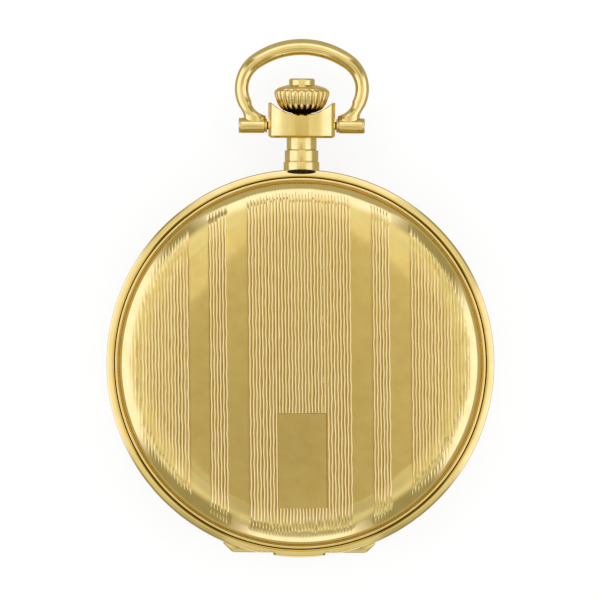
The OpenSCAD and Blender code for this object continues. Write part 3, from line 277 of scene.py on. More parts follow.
def turned(name, section, place, steps=128, sharp=35):
    """A closed section of (radius, height) pairs spun round the axis that place puts it on."""
    points, rings = [], []
    for radius, height in section:
        if radius < AXIS:
            rings.append([len(points)] * steps)
            points.append(place(0, 0, height))
            continue
        rings.append(list(range(len(points), len(points) + steps)))
        for k in range(steps):
            a = math.tau * k / steps
            points.append(place(radius * math.cos(a), radius * math.sin(a), height))
    faces = []
    for i, ring in enumerate(rings):
        other = rings[(i + 1) % len(rings)]
        for k in range(steps):
            n = (k + 1) % steps
            face = list(dict.fromkeys([ring[k], ring[n], other[n], other[k]]))
            if len(face) > 2:
                faces.append(face)
    return piece_from(name, points, faces, sharp)


print("lathe ready")

# %% [markdown]
# The lid is one turned shell: a rim with a sloping top, a fine groove, a steep wall, a round shoulder and
# a nearly flat top. The lines on its top run straight up and down, so the top is laid out in columns
# instead of rings. Each cut has four columns: its edge, the foot of its steep side, the foot of its
# flat side and its other edge. What is left before the next cut is a flat land. A few more columns cross
# the wider lands, close the field at its edge and draw the two sides of the panel.

# %% Shape of a lid
WALL_R = 21.95
WALL_LOW = 1.15
SHOULDER_W = 3.9
SHELL_T = 0.5
FIELD_R = 21.5
CUT_PITCH = 0.39
CUT_DEPTH = 0.072
# Place in the pitch, share of the depth, and painted shade of each of a cut's columns.
CUT_PROFILE = ((0.0, 0.0, 0.2), (0.17, 1.0, 1.0), (0.25, 1.0, 0.7), (0.66, 0.0, 0.0))
LINE_GROUPS = ((-11.0, -8.75), (-6.3, 6.3), (8.75, 11.0))
OUTER_LINES_FROM = 13.4
OUTER_LINES = 19
LAND_COLUMNS = (6.55, 7.5, 8.5, 11.2, 12.2, 13.2)
EDGE_COLUMNS = 9
PANEL_X = (-2.839, 3.067)
PANEL_LINE_HALF = 0.045


def shell_height(radius, height, rise):
    """Height of a lid's outside above its seam."""
    u = max(0.0, min(1.0, (radius - WALL_R + SHOULDER_W) / SHOULDER_W))
    shoulder = WALL_LOW + (height - rise - WALL_LOW) * math.sqrt(1 - u * u)
    return shoulder + rise * (1 - (radius / WALL_R) ** 2)


def cut_columns(start, step, count, side=1):
    """The columns of some cuts in a row, each (place, share of the depth, painted shade, number of the cut).
    """
    return [(side * (start + (k + at) * step), share, shade_share, (side, round(start), k))
            for k in range(count) for at, share, shade_share in CUT_PROFILE]


def lid_columns(panel):
    """Places across the lid with the share of a cut's depth, its painted shade and the cut that each belongs
    to.
    """
    columns = []
    for low, high in LINE_GROUPS:
        count = round((high - low) / CUT_PITCH)
        columns += cut_columns(low, (high - low) / count, count)
    last = OUTER_LINES_FROM + OUTER_LINES * CUT_PITCH
    edge = math.acos(last / FIELD_R)
    for side in (-1, 1):
        columns += cut_columns(OUTER_LINES_FROM, CUT_PITCH, OUTER_LINES, side)
        columns += [(side * FIELD_R * math.cos(edge * (1 - k / EDGE_COLUMNS)), 0.0, 0.0, None)
                    for k in range(EDGE_COLUMNS)]
        columns += [(side * x, 0.0, 0.0, None) for x in LAND_COLUMNS]
    if panel:
        columns += [(x + d, 0.0, 0.0, "panel") for x in PANEL_X
                    for d in (-PANEL_LINE_HALF, 0.0, PANEL_LINE_HALF)]
    return sorted(columns, key=lambda column: column[0])


print(f"{len(lid_columns(True))} columns across the lid")

# %% [markdown]
# The photographed cuts are not ruler-straight: each wanders by a few hundredths of a millimetre, and not
# in step with its neighbour, so the light beads along them. Two sine waves give that, and each cut has its
# own phases and strength. The panel is left uncut. A thin line runs down each of its sides and along its
# top, and the cuts simply end at its foot.

# %% The lid's engraved top
PANEL_Y = (-17.55, -6.0)
PANEL_LINE = 0.06
PANEL_LINE_DEPTH = 0.7
# Rows cross the middle columns straight as far out as this, and bend to the round edge past it.
STRAIGHT_ROWS = 18.0
STRAIGHT_X = 3.4
ROW_STEP = 0.25
ROW_GAP = 0.16
BEND_ROWS = 10
SEED = 7
WAVE_MM = 1.9
WAVE_SIZE = 0.013
SLOW_WAVE_MM = 3.5
SLOW_WAVE_SIZE = 0.026
SLOW_PHASE_STEP = 0.55
SLOW_PHASE_SPREAD = (-0.8, 0.8)
CUT_STRENGTH = (0.82, 1.12)
# The cut on each side of the panel, this share of the pitch away, wanders less.
BESIDE_PANEL = 0.7
BESIDE_SWAY = 0.2
# Radius where the depth or the painted shade of the cuts has run out, and how far inside it that begins.
DEPTH_FADE = (21.4, 1.8)
SHADE_FADE = (20.4, 2.4)


def lid_rows():
    """Row places as a straight part, in millimetres from the middle, and a part that bends to the edge."""
    count = round(2 * STRAIGHT_ROWS / ROW_STEP) + 1
    straight = {round(-STRAIGHT_ROWS + ROW_STEP * k, 4) for k in range(count)}
    for edge in PANEL_Y:
        straight = {y for y in straight if abs(y - edge) > ROW_GAP}
        straight |= {edge - 2 * PANEL_LINE, edge - PANEL_LINE, edge, edge + PANEL_LINE}
    bend = [1 - (1 - k / BEND_ROWS) ** 1.5 for k in range(1, BEND_ROWS + 1)]
    return sorted(straight), bend


def panel_depth(x, y, owner):
    """None outside the panel, otherwise the share of the depth of the line along its sides and top, also its
    painted shade.
    """
    near = 0.001
    if not (PANEL_X[0] - near < x < PANEL_X[1] + near and PANEL_Y[0] - near < y < PANEL_Y[1] + near):
        return None
    on_side = owner == "panel" and min(abs(x - PANEL_X[0]), abs(x - PANEL_X[1])) < near
    on_top = abs(y - PANEL_Y[1] + PANEL_LINE) < near
    return PANEL_LINE_DEPTH if on_side or on_top else 0.0


def faded(radius, fade):
    """One well inside the field, zero past the radius of a fade."""
    return max(0.0, min(1.0, (fade[0] - radius) / fade[1]))


def engraved_field(height, rise, panel):
    """Points of a lid's top in columns, each (x, y, z above the seam, painted shade)."""
    straight, bend = lid_rows()
    order = random.Random(SEED)
    phases = {}
    field = []
    for x, share, shade_share, owner in lid_columns(panel):
        reach = math.sqrt(FIELD_R ** 2 - x * x)
        inner = STRAIGHT_ROWS
        if abs(x) >= STRAIGHT_X:
            inner *= reach / math.sqrt(FIELD_R ** 2 - STRAIGHT_X ** 2)
        rows = [-inner - (reach - inner) * g for g in reversed(bend)]
        rows += [y * inner / STRAIGHT_ROWS for y in straight]
        rows += [inner + (reach - inner) * g for g in bend]
        if owner not in phases:
            phases[owner] = (order.uniform(0, math.tau),
                             SLOW_PHASE_STEP * len(phases) + order.uniform(*SLOW_PHASE_SPREAD),
                             order.uniform(*CUT_STRENGTH))
        fast, slow, strength = phases[owner]
        beside = panel and min(abs(x - edge) for edge in PANEL_X) < CUT_PITCH * BESIDE_PANEL
        calm = 0.0 if owner in (None, "panel") else BESIDE_SWAY if beside else 1.0
        column = []
        for y in rows:
            radius = math.hypot(x, y)
            fade, shade_reach = faded(radius, DEPTH_FADE), faded(radius, SHADE_FADE)
            in_panel = panel_depth(x, y, owner) if panel else None
            sway = WAVE_SIZE * math.sin(math.tau * y / WAVE_MM + fast)
            sway += SLOW_WAVE_SIZE * math.sin(math.tau * y / SLOW_WAVE_MM + slow)
            # Each point's painted shade fades out towards the edge of the field.
            if in_panel is None:
                depth, groove_shade, moved = share * fade * strength, shade_share * shade_reach, x + sway * fade * calm
            else:
                depth, groove_shade, moved = in_panel, in_panel, x
            column.append((moved, y, shell_height(radius, height, rise) - CUT_DEPTH * depth, groove_shade))
        field.append(column)
    return field


print(f"{len(lid_rows()[0])} straight rows, {BEND_ROWS} more at each end")

# %% [markdown]
# The field's edge is one loop of points on a circle. The turned part of the lid goes on from that loop,
# ring by ring: down the wall, through the groove, over the rim, under the seam and back up inside, where
# it closes at the middle. So the lid is one closed skin. Beside the hinge its edge is filed flat.

# %% The whole lid
# Radius, height above the seam and painted shade of each ring. Where the height is None, it is the shell's
# own.
WALL = [(21.6, None, 0.0), (21.7, None, 0.0), (21.78, None, 0.0), (21.85, None, 0.1), (21.9, None, 0.2),
        (21.93, None, 0.15)]
GROOVE = [(21.95, 1.08, 0.15), (21.97, 0.7, 0.2), (22.02, 0.66, 0.2), (22.07, 0.66, 0.2), (22.1, 0.72, 0.15)]
BEAD = [(22.14, 0.82, 0.1), (22.19, 0.89, 0.05), (22.28, 0.91, 0.0), (22.37, 0.9, 0.0), (22.45, 0.87, 0.2)]
FINE_LINE = [(22.48, 0.77, 0.9), (22.52, 0.72, 1.0), (22.56, 0.78, 0.9), (22.6, 0.92, 0.2)]
CREST_R = 22.8
CREST_H = 1.04
RIM_SLOPE = 0.27
RIM_TOP = [(22.66, 0.98, 0.0), (22.75, CREST_H, 0.0)]
RIM_TOP += [(r, CREST_H - RIM_SLOPE * (r - CREST_R), 0.0) for r in (22.84, 22.95, 23.1, 23.25, 23.36)]
RIM_EDGE = [(23.43, 0.85, 0.1), (23.48, 0.81, 0.3), (23.5, 0.75, 0.4), (23.5, 0.22, 0.0), (23.42, 0.1, 0.0)]
LIP = [(23.32, 0.05, 0.6), (21.0, 0.05, 0.3), (20.95, 0.1, 0.0), (20.95, 0.4, 0.0), (21.0, 0.45, 0.0),
       (21.4, 0.45, 0.0)]
RIM_SECTION = WALL + GROOVE + BEAD + FINE_LINE + RIM_TOP + RIM_EDGE + LIP
INNER_SHOULDER_W = 3.7
INNER_ARC_STEPS = 10
INNER_FLAT_R = (13.0, 8.0, 3.0)
HINGE_FLAT_Y = -22.93
HINGE_FLAT_FROM = 3.1
LID_SHARP = 17


def field_skin(height, rise, panel):
    """Points, painted shade and faces of a lid's top, and the loop of points round its edge."""
    points, cuts, ids = [], [], []
    for column in engraved_field(height, rise, panel):
        ids.append(list(range(len(points), len(points) + len(column))))
        points += [p[:3] for p in column]
        cuts += [p[3] for p in column]
    tips = []
    for side in (-1, 1):
        tips.append(len(points))
        points.append((side * FIELD_R, 0, shell_height(FIELD_R, height, rise)))
        cuts.append(0.0)
    faces = []
    for a, b in zip(ids, ids[1:]):
        faces += [(a[j], b[j], b[j + 1], a[j + 1]) for j in range(len(a) - 1)]
    for tip, column in zip(tips, (ids[0], ids[-1])):
        faces += [(tip, column[j], column[j + 1]) for j in range(len(column) - 1)]
    loop = [tips[1]] + [c[-1] for c in reversed(ids)] + [tips[0]] + [c[0] for c in ids]
    return points, cuts, faces, loop


def inside_section(height, rise):
    """The inside of a lid, from its lip up the shoulder and in to the middle, as rings like the rim's."""
    arc = [math.radians(90 * k / INNER_ARC_STEPS) for k in range(1, INNER_ARC_STEPS + 1)]
    inner_r = WALL_R - SHELL_T
    flat_r = inner_r - INNER_SHOULDER_W
    rings = [(inner_r - INNER_SHOULDER_W * (1 - math.cos(a)),
              WALL_LOW + (height - rise - WALL_LOW - SHELL_T) * math.sin(a), 0.0) for a in arc]
    return rings + [(r, height - rise - SHELL_T + rise * (1 - (r / flat_r) ** 2), 0.0) for r in INNER_FLAT_R]


def lid_mesh(name, height, rise, seam, outward, panel, turn):
    """A lid as one closed mesh. outward is 1 for the front lid and -1 for the back cover."""
    points, cuts, faces, loop = field_skin(height, rise, panel)
    angles = [math.atan2(points[i][1], points[i][0]) for i in loop]
    ring = loop
    # Each ring has its own painted shade, darkest in the fine line.
    for radius, z, shade_share in RIM_SECTION + inside_section(height, rise):
        z = shell_height(radius, height, rise) if z is None else z
        new = list(range(len(points), len(points) + len(loop)))
        points += [(radius * math.cos(a), radius * math.sin(a), z) for a in angles]
        cuts += [shade_share] * len(loop)
        faces += [(ring[k - 1], ring[k], new[k], new[k - 1]) for k in range(len(loop))]
        ring = new
    middle = len(points)
    points.append((0, 0, height - SHELL_T))
    cuts.append(0.0)
    faces += [(ring[k - 1], ring[k], middle) for k in range(len(loop))]
    c, s = math.cos(math.radians(turn)), math.sin(math.radians(turn))
    placed = [(x * c - y * s, x * s + y * c, seam + outward * z) for x, y, z in points]
    placed = [(x, max(y, HINGE_FLAT_Y) if abs(x) > HINGE_FLAT_FROM else y, z) for x, y, z in placed]
    return piece_from(name, placed, faces, LID_SHARP, cuts)


FRONT_LID_H = 3.0
FRONT_LID_RISE = 0.3
# The lines on the photographed lid lean by this many degrees.
LID_TURN = 0.9
front_lid = lid_mesh("front_lid_engraved", FRONT_LID_H, FRONT_LID_RISE, FRONT_SEAM, 1, True, LID_TURN)
dress(front_lid, "front_lid", "gold_plate", engraved_gold, "front_lid")
print(f"front lid: {len(front_lid.data.polygons)} faces")

# %% [markdown]
# Under the neck the rim has a small oval hollow, dark with the shade that falls in it. That shade is
# painted:
# the hollow is made as an oval of dark gold, set in the slope of the rim.

# %% The lid's notch
NOTCH_AT = (0.0, 23.23, FRONT_SEAM + 0.97)
NOTCH_HALF = (1.75, 0.27)
NOTCH_SECTION = [(0.0, -0.3), (1.0, -0.3), (1.0, 0.0), (0.7, 0.02), (0.0, 0.03)]


def in_notch(x, y, h):
    """A place in the notch: x and y are shares of its half sizes, and h stands on the rim's slope."""
    return (NOTCH_AT[0] + NOTCH_HALF[0] * x, NOTCH_AT[1] + NOTCH_HALF[1] * y,
            NOTCH_AT[2] + h - RIM_SLOPE * NOTCH_HALF[1] * y)


# The notch's dark gold is painted shade.
dress(turned("front_lid_notch_shade", NOTCH_SECTION, in_notch, steps=48), "front_lid", "gold_plate",
      painted_shade_gold)
print(f"notch: {NOTCH_HALF[0] * 2} mm wide")

# %% [markdown]
# The back cover is the same shell, shallower and flat in the middle so that the watch lies steady. The
# back isn't in the photograph. Such cases repeat the lines there, so it has them too, without the panel.

# %% The back cover
back_cover = lid_mesh("back_cover_engraved", BACK_SEAM, 0.0, BACK_SEAM, -1, False, 0)
dress(back_cover, "back_cover", "gold_plate", engraved_gold, "back_cover")
print(f"back cover: {len(back_cover.data.polygons)} faces")

# %% [markdown]
# A hinge knuckle is a short tube round the pin, and a small foot joins it to its lid. The middle knuckle
# belongs to the lid, so it turns with it, and the outer two belong to the band.

# %% Lid knuckles
KNUCKLE_HALF = 2.86
HINGE_R = 1.1
PIN_BORE_R = 0.42
KNUCKLE_ROUND = 0.1
KNUCKLE_FOOT_BEVEL = 0.08
FOOT_HALF = 0.55
# The foot starts this far from the pin's axis and ends this far past the seam.
FOOT_IN = 0.6
FOOT_OUT = 0.3


def baked(piece):
    """Replaces a piece's mesh by what its modifiers make of it."""
    graph = bpy.context.evaluated_depsgraph_get()
    mesh = bpy.data.meshes.new_from_object(piece.evaluated_get(graph))
    old = piece.data
    piece.modifiers.clear()
    piece.data = mesh
    if old.users == 0:
        bpy.data.meshes.remove(old)
    return piece


def softened(piece, width_mm, sharp=35):
    """Rounds a piece's real edges with a Bevel modifier and keeps the result as its mesh."""
    modifier = piece.modifiers.new("edges", "BEVEL")
    modifier.width = width_mm * MM
    modifier.segments = 2
    modifier.limit_method = "ANGLE"
    modifier.angle_limit = math.radians(sharp)
    modifier.harden_normals = False
    return smooth(baked(piece), sharp)


def block(name, low, high, bevel_mm):
    """A box between two corners in millimetres with rounded edges."""
    corners = [(x, y, z) for x in (low[0], high[0]) for y in (low[1], high[1]) for z in (low[2], high[2])]
    faces = [(0, 1, 3, 2), (4, 6, 7, 5), (0, 4, 5, 1), (2, 3, 7, 6), (0, 2, 6, 4), (1, 5, 7, 3)]
    return softened(piece_from(name, corners, faces), bevel_mm)


def joined(name, pieces):
    """One object from several, at the origin."""
    work = bmesh.new()
    for piece in pieces:
        work.from_mesh(piece.data)
        bpy.data.objects.remove(piece)
    mesh = bpy.data.meshes.new(name)
    work.to_mesh(mesh)
    work.free()
    return in_scene(name, mesh)


def lid_knuckle(name, z, foot_low, foot_high):
    """A lid's knuckle at a height, on a foot between two heights."""
    section = rounded([(PIN_BORE_R, -KNUCKLE_HALF), (HINGE_R, -KNUCKLE_HALF), (HINGE_R, KNUCKLE_HALF),
                       (PIN_BORE_R, KNUCKLE_HALF)], KNUCKLE_ROUND)
    barrel = turned(name + "_tube", section, about_x((HINGE_Y, z)), steps=48)
    foot = block(name + "_foot", (-KNUCKLE_HALF, HINGE_Y - FOOT_HALF, foot_low),
                 (KNUCKLE_HALF, HINGE_Y + FOOT_HALF, foot_high), KNUCKLE_FOOT_BEVEL)
    return joined(name, [barrel, foot])


dress(lid_knuckle("front_lid_knuckle", FRONT_HINGE_Z, FRONT_HINGE_Z + FOOT_IN, FRONT_SEAM + FOOT_OUT),
      "front_lid", "gold_plate", gold_plate)
dress(lid_knuckle("back_cover_knuckle", BACK_HINGE_Z, BACK_SEAM - FOOT_OUT, BACK_HINGE_Z - FOOT_IN),
      "back_cover", "gold_plate", gold_plate)
print("knuckles made")

# %% [markdown]
# The pendant, bow and crown were buffed by hand after the case was assembled. Their gold is the same, but
# its gloss is a little softer than the lid's, so reflections melt into each other on them.

# %% Hand-buffed gold plate
soft_gold = polished_metal("hand_buffed_gold_plate", "#EBD486", "#E3C878", 0.17, 0.03, wave_mm=1.1,
                           wave_height_mm=0.0008)
print("material:", soft_gold.name)

# %% [markdown]
# On each side of its knuckles the band's hinge bar runs out into a chamfered wing that shows past the
# lid's edge. A shallow pocket was filed in the top of each wing where it meets the rim, here by a Boolean
# modifier. Beside the middle knuckle the lid's edge ends in a small gap, and the shade in it is painted as a
# dark dot.

# %% Hinge wings
WING_TOP = 9.22
WING_LOW = 2.6
WING_OUTLINE = ((3.15, -22.9), (8.12, -22.9), (9.26, -21.82), (9.26, -21.5), (8.6, -21.3), (3.15, -22.0))
WING_POCKET = ((9.08, -21.78), (9.0, -21.45), (6.4, -22.3), (7.4, -22.38))
WING_BEVEL = 0.13
POCKET_DEPTH = 0.35
GAP_SHADE_AT = (2.97, -23.08)
GAP_SHADE_SECTION = [(0.0, 9.6), (0.13, 9.6), (0.13, 10.32), (0.0, 10.33)]


def prism(name, outline, low, high, side):
    """A flat outline mirrored to one side and raised between two heights."""
    corners = [(side * x, y, z) for z in (low, high) for x, y in outline]
    n = len(outline)
    faces = [tuple(range(n)), tuple(range(2 * n - 1, n - 1, -1))]
    faces += [(k, (k + 1) % n, n + (k + 1) % n, n + k) for k in range(n)]
    return piece_from(name, corners, faces)


def cut_from(piece, cutters):
    """Takes each cutter's shape out of a piece and removes the cutters."""
    for cutter in cutters:
        bite = piece.modifiers.new("bite", "BOOLEAN")
        bite.operation = "DIFFERENCE"
        bite.solver = "EXACT"
        bite.object = cutter
    baked(piece)
    for cutter in cutters:
        bpy.data.objects.remove(cutter)
    return piece


for side, name in ((1, "hinge_wing_right"), (-1, "hinge_wing_left")):
    wing = softened(prism(name, WING_OUTLINE, WING_LOW, WING_TOP, side), WING_BEVEL)
    cut_from(wing, [prism("pocket", WING_POCKET, WING_TOP - POCKET_DEPTH, WING_TOP + 1, side)])
    dress(finish_mesh(wing, sharp=30), "case", "gold_plate", gold_plate)
    # A dark dot of painted shade in the gap beside the middle knuckle.
    gap = turned(name + "_gap", GAP_SHADE_SECTION, about_z((side * GAP_SHADE_AT[0], GAP_SHADE_AT[1])), steps=16)
    dress(gap, "front_lid", "gold_plate", painted_shade_gold)
print("hinge wings made")

# %% [markdown]
# The bow is drawn wire, bent to a flat oval, thicker at its crown than at its sides. Rings of points follow
# it, each given by its inner and outer edge. At each foot the inner edge sweeps in along the sleeve, as
# the solder does there, while the outer edge runs nearly straight down.

# %% The bow's wire
BOW_HALF_W = 7.32
BOW_BEND_R = 4.0
BOW_TOP_Y = 38.3875
BOW_BEND_Y = 33.326
WIRE_R = 0.82
WIRE_TOP_R = 0.98
# A quarter of the section, across and up, both as shares of the wire's half width and half thickness. The
# wire is rubbed a little flat above and below.
WIRE_QUARTER = [(math.cos(math.radians(a)), math.sin(math.radians(a))) for a in (15, 30, 45, 57)]
WIRE_QUARTER += [(0.31, 0.93), (0.18, 0.98), (0.12, 0.98)]
WIRE_TOP = WIRE_QUARTER + [(-x, y) for x, y in reversed(WIRE_QUARTER)]
WIRE_SECTION = [(1, 0)] + WIRE_TOP + [(-1, 0)] + [(-x, -y) for x, y in WIRE_TOP]
# Inner and outer edge of the foot, from the sleeve up to where the wire's bend goes on from it.
FOOT_EDGES = (((4.36, 29.2), (7.0, 29.2)), ((4.36, 30.0), (7.02, 29.8)), ((4.72, 30.14), (7.04, 30.0)),
              ((5.18, 30.36), (7.09, 30.2)), ((5.58, 30.66), (7.2, 30.45)), ((5.86, 30.98), (7.34, 30.7)),
              ((6.08, 31.36), (7.52, 31.02)))
# Where the bend starts above the foot, in degrees round its centre.
LEG_ENDS = -28
BEND_RINGS = 44
TOP_RINGS = 36


def arc_edges(centre, radius, angle, wire):
    """Inner and outer edge of the wire where it follows an arc."""
    c, s = math.cos(angle), math.sin(angle)
    return ((centre[0] + (radius - wire) * c, centre[1] + (radius - wire) * s),
            (centre[0] + (radius + wire) * c, centre[1] + (radius + wire) * s))


def bow_edges():
    """Inner edge, outer edge and half thickness of each ring, from the right foot round to the left."""
    bend_x = BOW_HALF_W - BOW_BEND_R
    gap = BOW_TOP_Y - BOW_BEND_Y
    top_r = (bend_x ** 2 + gap ** 2 - BOW_BEND_R ** 2) / (2 * (gap - BOW_BEND_R))
    top_y = BOW_TOP_Y - top_r
    turn = math.atan2(BOW_BEND_Y - top_y, bend_x)
    leave = math.radians(LEG_ENDS)
    right = [(inner, outer, WIRE_R) for inner, outer in FOOT_EDGES]
    for k in range(BEND_RINGS):
        a = leave + (turn - leave) * k / BEND_RINGS
        wire = WIRE_R + (WIRE_TOP_R - WIRE_R) * max(0.0, math.sin(a)) ** 2
        right.append((*arc_edges((bend_x, BOW_BEND_Y), BOW_BEND_R, a, wire), wire))
    for k in range(TOP_RINGS + 1):
        a = turn + (math.pi / 2 - turn) * k / TOP_RINGS
        wire = WIRE_R + (WIRE_TOP_R - WIRE_R) * math.sin(a) ** 2
        right.append((*arc_edges((0.0, top_y), top_r, a, wire), wire))
    return right + [((-i[0], i[1]), (-o[0], o[1]), t) for i, o, t in reversed(right[:-1])]


def swept(name, edges, section, z):
    """A closed skin over rings of one section, each between an inner and an outer edge."""
    points, faces = [], []
    count, sides = len(edges), len(section)
    for inner, outer, thick in edges:
        middle = ((inner[0] + outer[0]) / 2, (inner[1] + outer[1]) / 2)
        reach = ((outer[0] - inner[0]) / 2, (outer[1] - inner[1]) / 2)
        points += [(middle[0] + reach[0] * u, middle[1] + reach[1] * u, z + thick * v) for u, v in section]
    for i in range(count - 1):
        for k in range(sides):
            n = (k + 1) % sides
            faces.append((i * sides + k, i * sides + n, (i + 1) * sides + n, (i + 1) * sides + k))
    faces.append(tuple(range(sides)))
    faces.append(tuple(reversed(range((count - 1) * sides, count * sides))))
    return piece_from(name, points, faces, sharp=60)


wire = swept("bow_wire", bow_edges(), WIRE_SECTION, MID_Z)
dress(wire, "bow", "gold_plate", gold_plate, "bow")
print(f"bow wire: {len(wire.data.polygons)} faces")

# %% [markdown]
# Each end of the bow is a small turned sleeve with a bead at its outer end and a fine groove before it.
# It turns on a screw in the pendant's head.

# %% The bow's sleeves
PIVOT_AXIS = about_x((PIVOT_Y, MID_Z))
# Radius and distance from the middle of the watch.
SLEEVE = [(0.5, 4.2), (0.8, 4.2), (0.86, 4.28), (0.86, 4.4), (0.76, 4.43), (0.76, 4.49), (0.92, 4.54),
          (0.93, 7.36), (0.88, 7.39), (0.88, 7.43), (0.93, 7.46), (0.9, 7.6), (0.8, 7.65), (0.0, 7.65),
          (0.0, 6.9), (0.5, 6.9)]
for side, name in ((1, "bow_sleeve_right"), (-1, "bow_sleeve_left")):
    section = [(r, side * h) for r, h in rounded(SLEEVE, SMALL_ROUND)]
    dress(turned(name, section, PIVOT_AXIS, steps=64), "bow", "gold_plate", soft_gold)
print("sleeves made")

# %% [markdown]
# The pendant is a stepped neck and a saddle-shaped head. The neck is turned. The head is laid out in
# columns: each column knows where the straight foot, the saddle and the bulged faces lie at its place.
# The bore for the stem and those for the bow's screws are then cut through it.

# %% The pendant
STEM_AXIS = about_y((0, MID_Z))
HEAD_HALF_W = 4.05
HEAD_HALF_T = 2.6
HEAD_BULGE_R = 6.2
HEAD_FLAT = 0.8
HORN_Y = 31.6
SADDLE_Y = 30.12
SADDLE_R = 5.35
CORNER = 0.2
SIDE_BEVEL = 0.34
FOOT_BEVEL = 0.26
TOP_BEVEL = 0.12
# Where the saddle's flat horns begin, and how the columns between the bevels are spaced.
HORN_X = 3.6
HEAD_COLUMNS_TO = 3.5
HEAD_COLUMN_STEP = 0.25
BORE_R = 1.25
STEM_BORE_Y = (20, 40)
SCREW_BORE_R = 0.5
SCREW_BORE_X = (1.6, 8)
# Radius and place along the stem.
NECK = [(BORE_R, 21.3), (1.8, 21.3), (1.8, 22.9), (2.17, 22.9), (2.17, 24.42), (2.0, 24.46), (2.0, 24.52),
        (2.04, 24.56), (2.04, 25.83), (1.75, 25.87), (1.75, 25.93), (1.82, 25.97), (1.82, 27.5),
        (BORE_R, 27.5)]


def head_columns():
    """Across the head: place, foot, top and half thickness."""
    places = {-HEAD_HALF_W, HEAD_HALF_W, -HEAD_HALF_W + SIDE_BEVEL, HEAD_HALF_W - SIDE_BEVEL}
    count = round(2 * HEAD_COLUMNS_TO / HEAD_COLUMN_STEP) + 1
    places |= {round(-HEAD_COLUMNS_TO + HEAD_COLUMN_STEP * k, 3) for k in range(count)}
    columns = []
    for x in sorted(places):
        at_side = abs(x) > HEAD_HALF_W - 0.01
        foot = HEAD_Y + (CORNER if at_side else 0.0)
        on_horn = abs(x) > HORN_X
        top = HORN_Y if on_horn else SADDLE_Y + SADDLE_R - math.sqrt(SADDLE_R ** 2 - x * x)
        bent = max(0.0, abs(x) - HEAD_FLAT)
        face = HEAD_HALF_T - HEAD_BULGE_R + math.sqrt(HEAD_BULGE_R ** 2 - bent ** 2)
        columns.append((x, foot, top, face - (SIDE_BEVEL if at_side else 0.0)))
    return columns


def drill(name, radius, ends, place, steps):
    """A plain cylinder between two places along an axis."""
    low, high = ends
    return turned(name, [(0, low), (radius, low), (radius, high), (0, high)], place, steps)


def pendant_head(name):
    """The head as rings of eight points, one ring for each column, so its bevels are part of the shape."""
    points, faces = [], []
    columns = head_columns()
    for x, foot, top, face in columns:
        corners = [(foot, face - FOOT_BEVEL), (foot + FOOT_BEVEL, face), (top - TOP_BEVEL, face),
                   (top, face - TOP_BEVEL)]
        points += [(x, y, MID_Z + z) for y, z in corners]
        points += [(x, y, MID_Z - z) for y, z in reversed(corners)]
    for i in range(len(columns) - 1):
        a, b = 8 * i, 8 * i + 8
        faces += [(a + k, b + k, b + (k + 1) % 8, a + (k + 1) % 8) for k in range(8)]
    faces += [tuple(range(8)), tuple(len(points) - 1 - k for k in range(8))]
    head = piece_from(name, points, faces)
    drills = [drill("stem_bore", BORE_R, STEM_BORE_Y, STEM_AXIS, 48)]
    near, far = SCREW_BORE_X
    for ends in ((near, far), (-far, -near)):
        drills.append(drill("screw_bore", SCREW_BORE_R, ends, PIVOT_AXIS, 32))
    return finish_mesh(cut_from(head, drills), sharp=32)


neck = turned("pendant_neck", rounded(NECK, SMALL_ROUND), STEM_AXIS, steps=96)
dress(neck, "case", "gold_plate", soft_gold, "pendant")
dress(pendant_head("pendant_head"), "case", "gold_plate", gold_plate)
print("pendant made")

# %% [markdown]
# The crown is a turned core with 22 petals round it. Geometry Nodes set one petal round the stem's axis as
# many times as an input says, so a crown with another number of ribs is one number away.

# %% The crown's core and one petal
CROWN_LOW = 30.5
CROWN_RIBS = 22
CROWN_TOP = 33.78
# Radius over the petals and place along the stem.
CROWN_PROFILE = [(2.02, CROWN_LOW), (2.32, 30.7), (2.66, 31.03), (2.96, 31.46), (3.17, 32.0), (3.33, 32.5),
                 (3.38, 32.8), (3.36, 33.05), (3.22, 33.25), (2.8, 33.45), (2.2, 33.64), (1.72, CROWN_TOP)]
CROWN_INSIDE = [(1.62, CROWN_TOP), (1.6, 33.6), (1.6, 31.05), (0.77, 31.05), (0.77, CROWN_LOW)]
# The core's outside: rings this far apart, without the petals' rise up to where they end, and a taper at
# its foot.
CORE_STEP = 0.1
CORE_RINGS = 33
PETALS_END = 33.36
PETALS_FADE = 0.3
CORE_TAPER_BELOW = 30.9
CORE_TAPER = 0.25
PETAL_TOP = 33.3
PETAL_FOOT = 0.08
PETAL_RISE = 0.32
PETAL_SUNK = 0.12
# How much of its share of the ring a petal fills at its widest.
PETAL_FILL = 0.985
PETAL_ROWS = 20
PETAL_ARC = 10
# Shares of a petal's height over which its top and its tip are rounded and it widens from its tip.
TOP_ROUND = 0.16
TIP_ROUND = 0.1
TIP_TAPER = 0.5


def crown_radius(y):
    """Outer radius of the crown at a height along the stem."""
    for (r1, y1), (r2, y2) in zip(CROWN_PROFILE, CROWN_PROFILE[1:]):
        if y <= y2:
            return r1 + (r2 - r1) * (y - y1) / (y2 - y1)
    return CROWN_PROFILE[-1][0]


def crown_core(name):
    """The crown without its petals: a petal's rise inside the profile, and tapered at its foot."""
    outside = []
    for y in [CROWN_LOW + CORE_STEP * k for k in range(CORE_RINGS)] + [CROWN_TOP]:
        under_petal = max(0.0, min(1.0, (PETALS_END - y) / PETALS_FADE))
        foot_taper = CORE_TAPER * max(0.0, CORE_TAPER_BELOW - y)
        outside.append((crown_radius(y) - PETAL_RISE * under_petal - foot_taper, y))
    return turned(name, outside + CROWN_INSIDE, STEM_AXIS, steps=88, sharp=40)


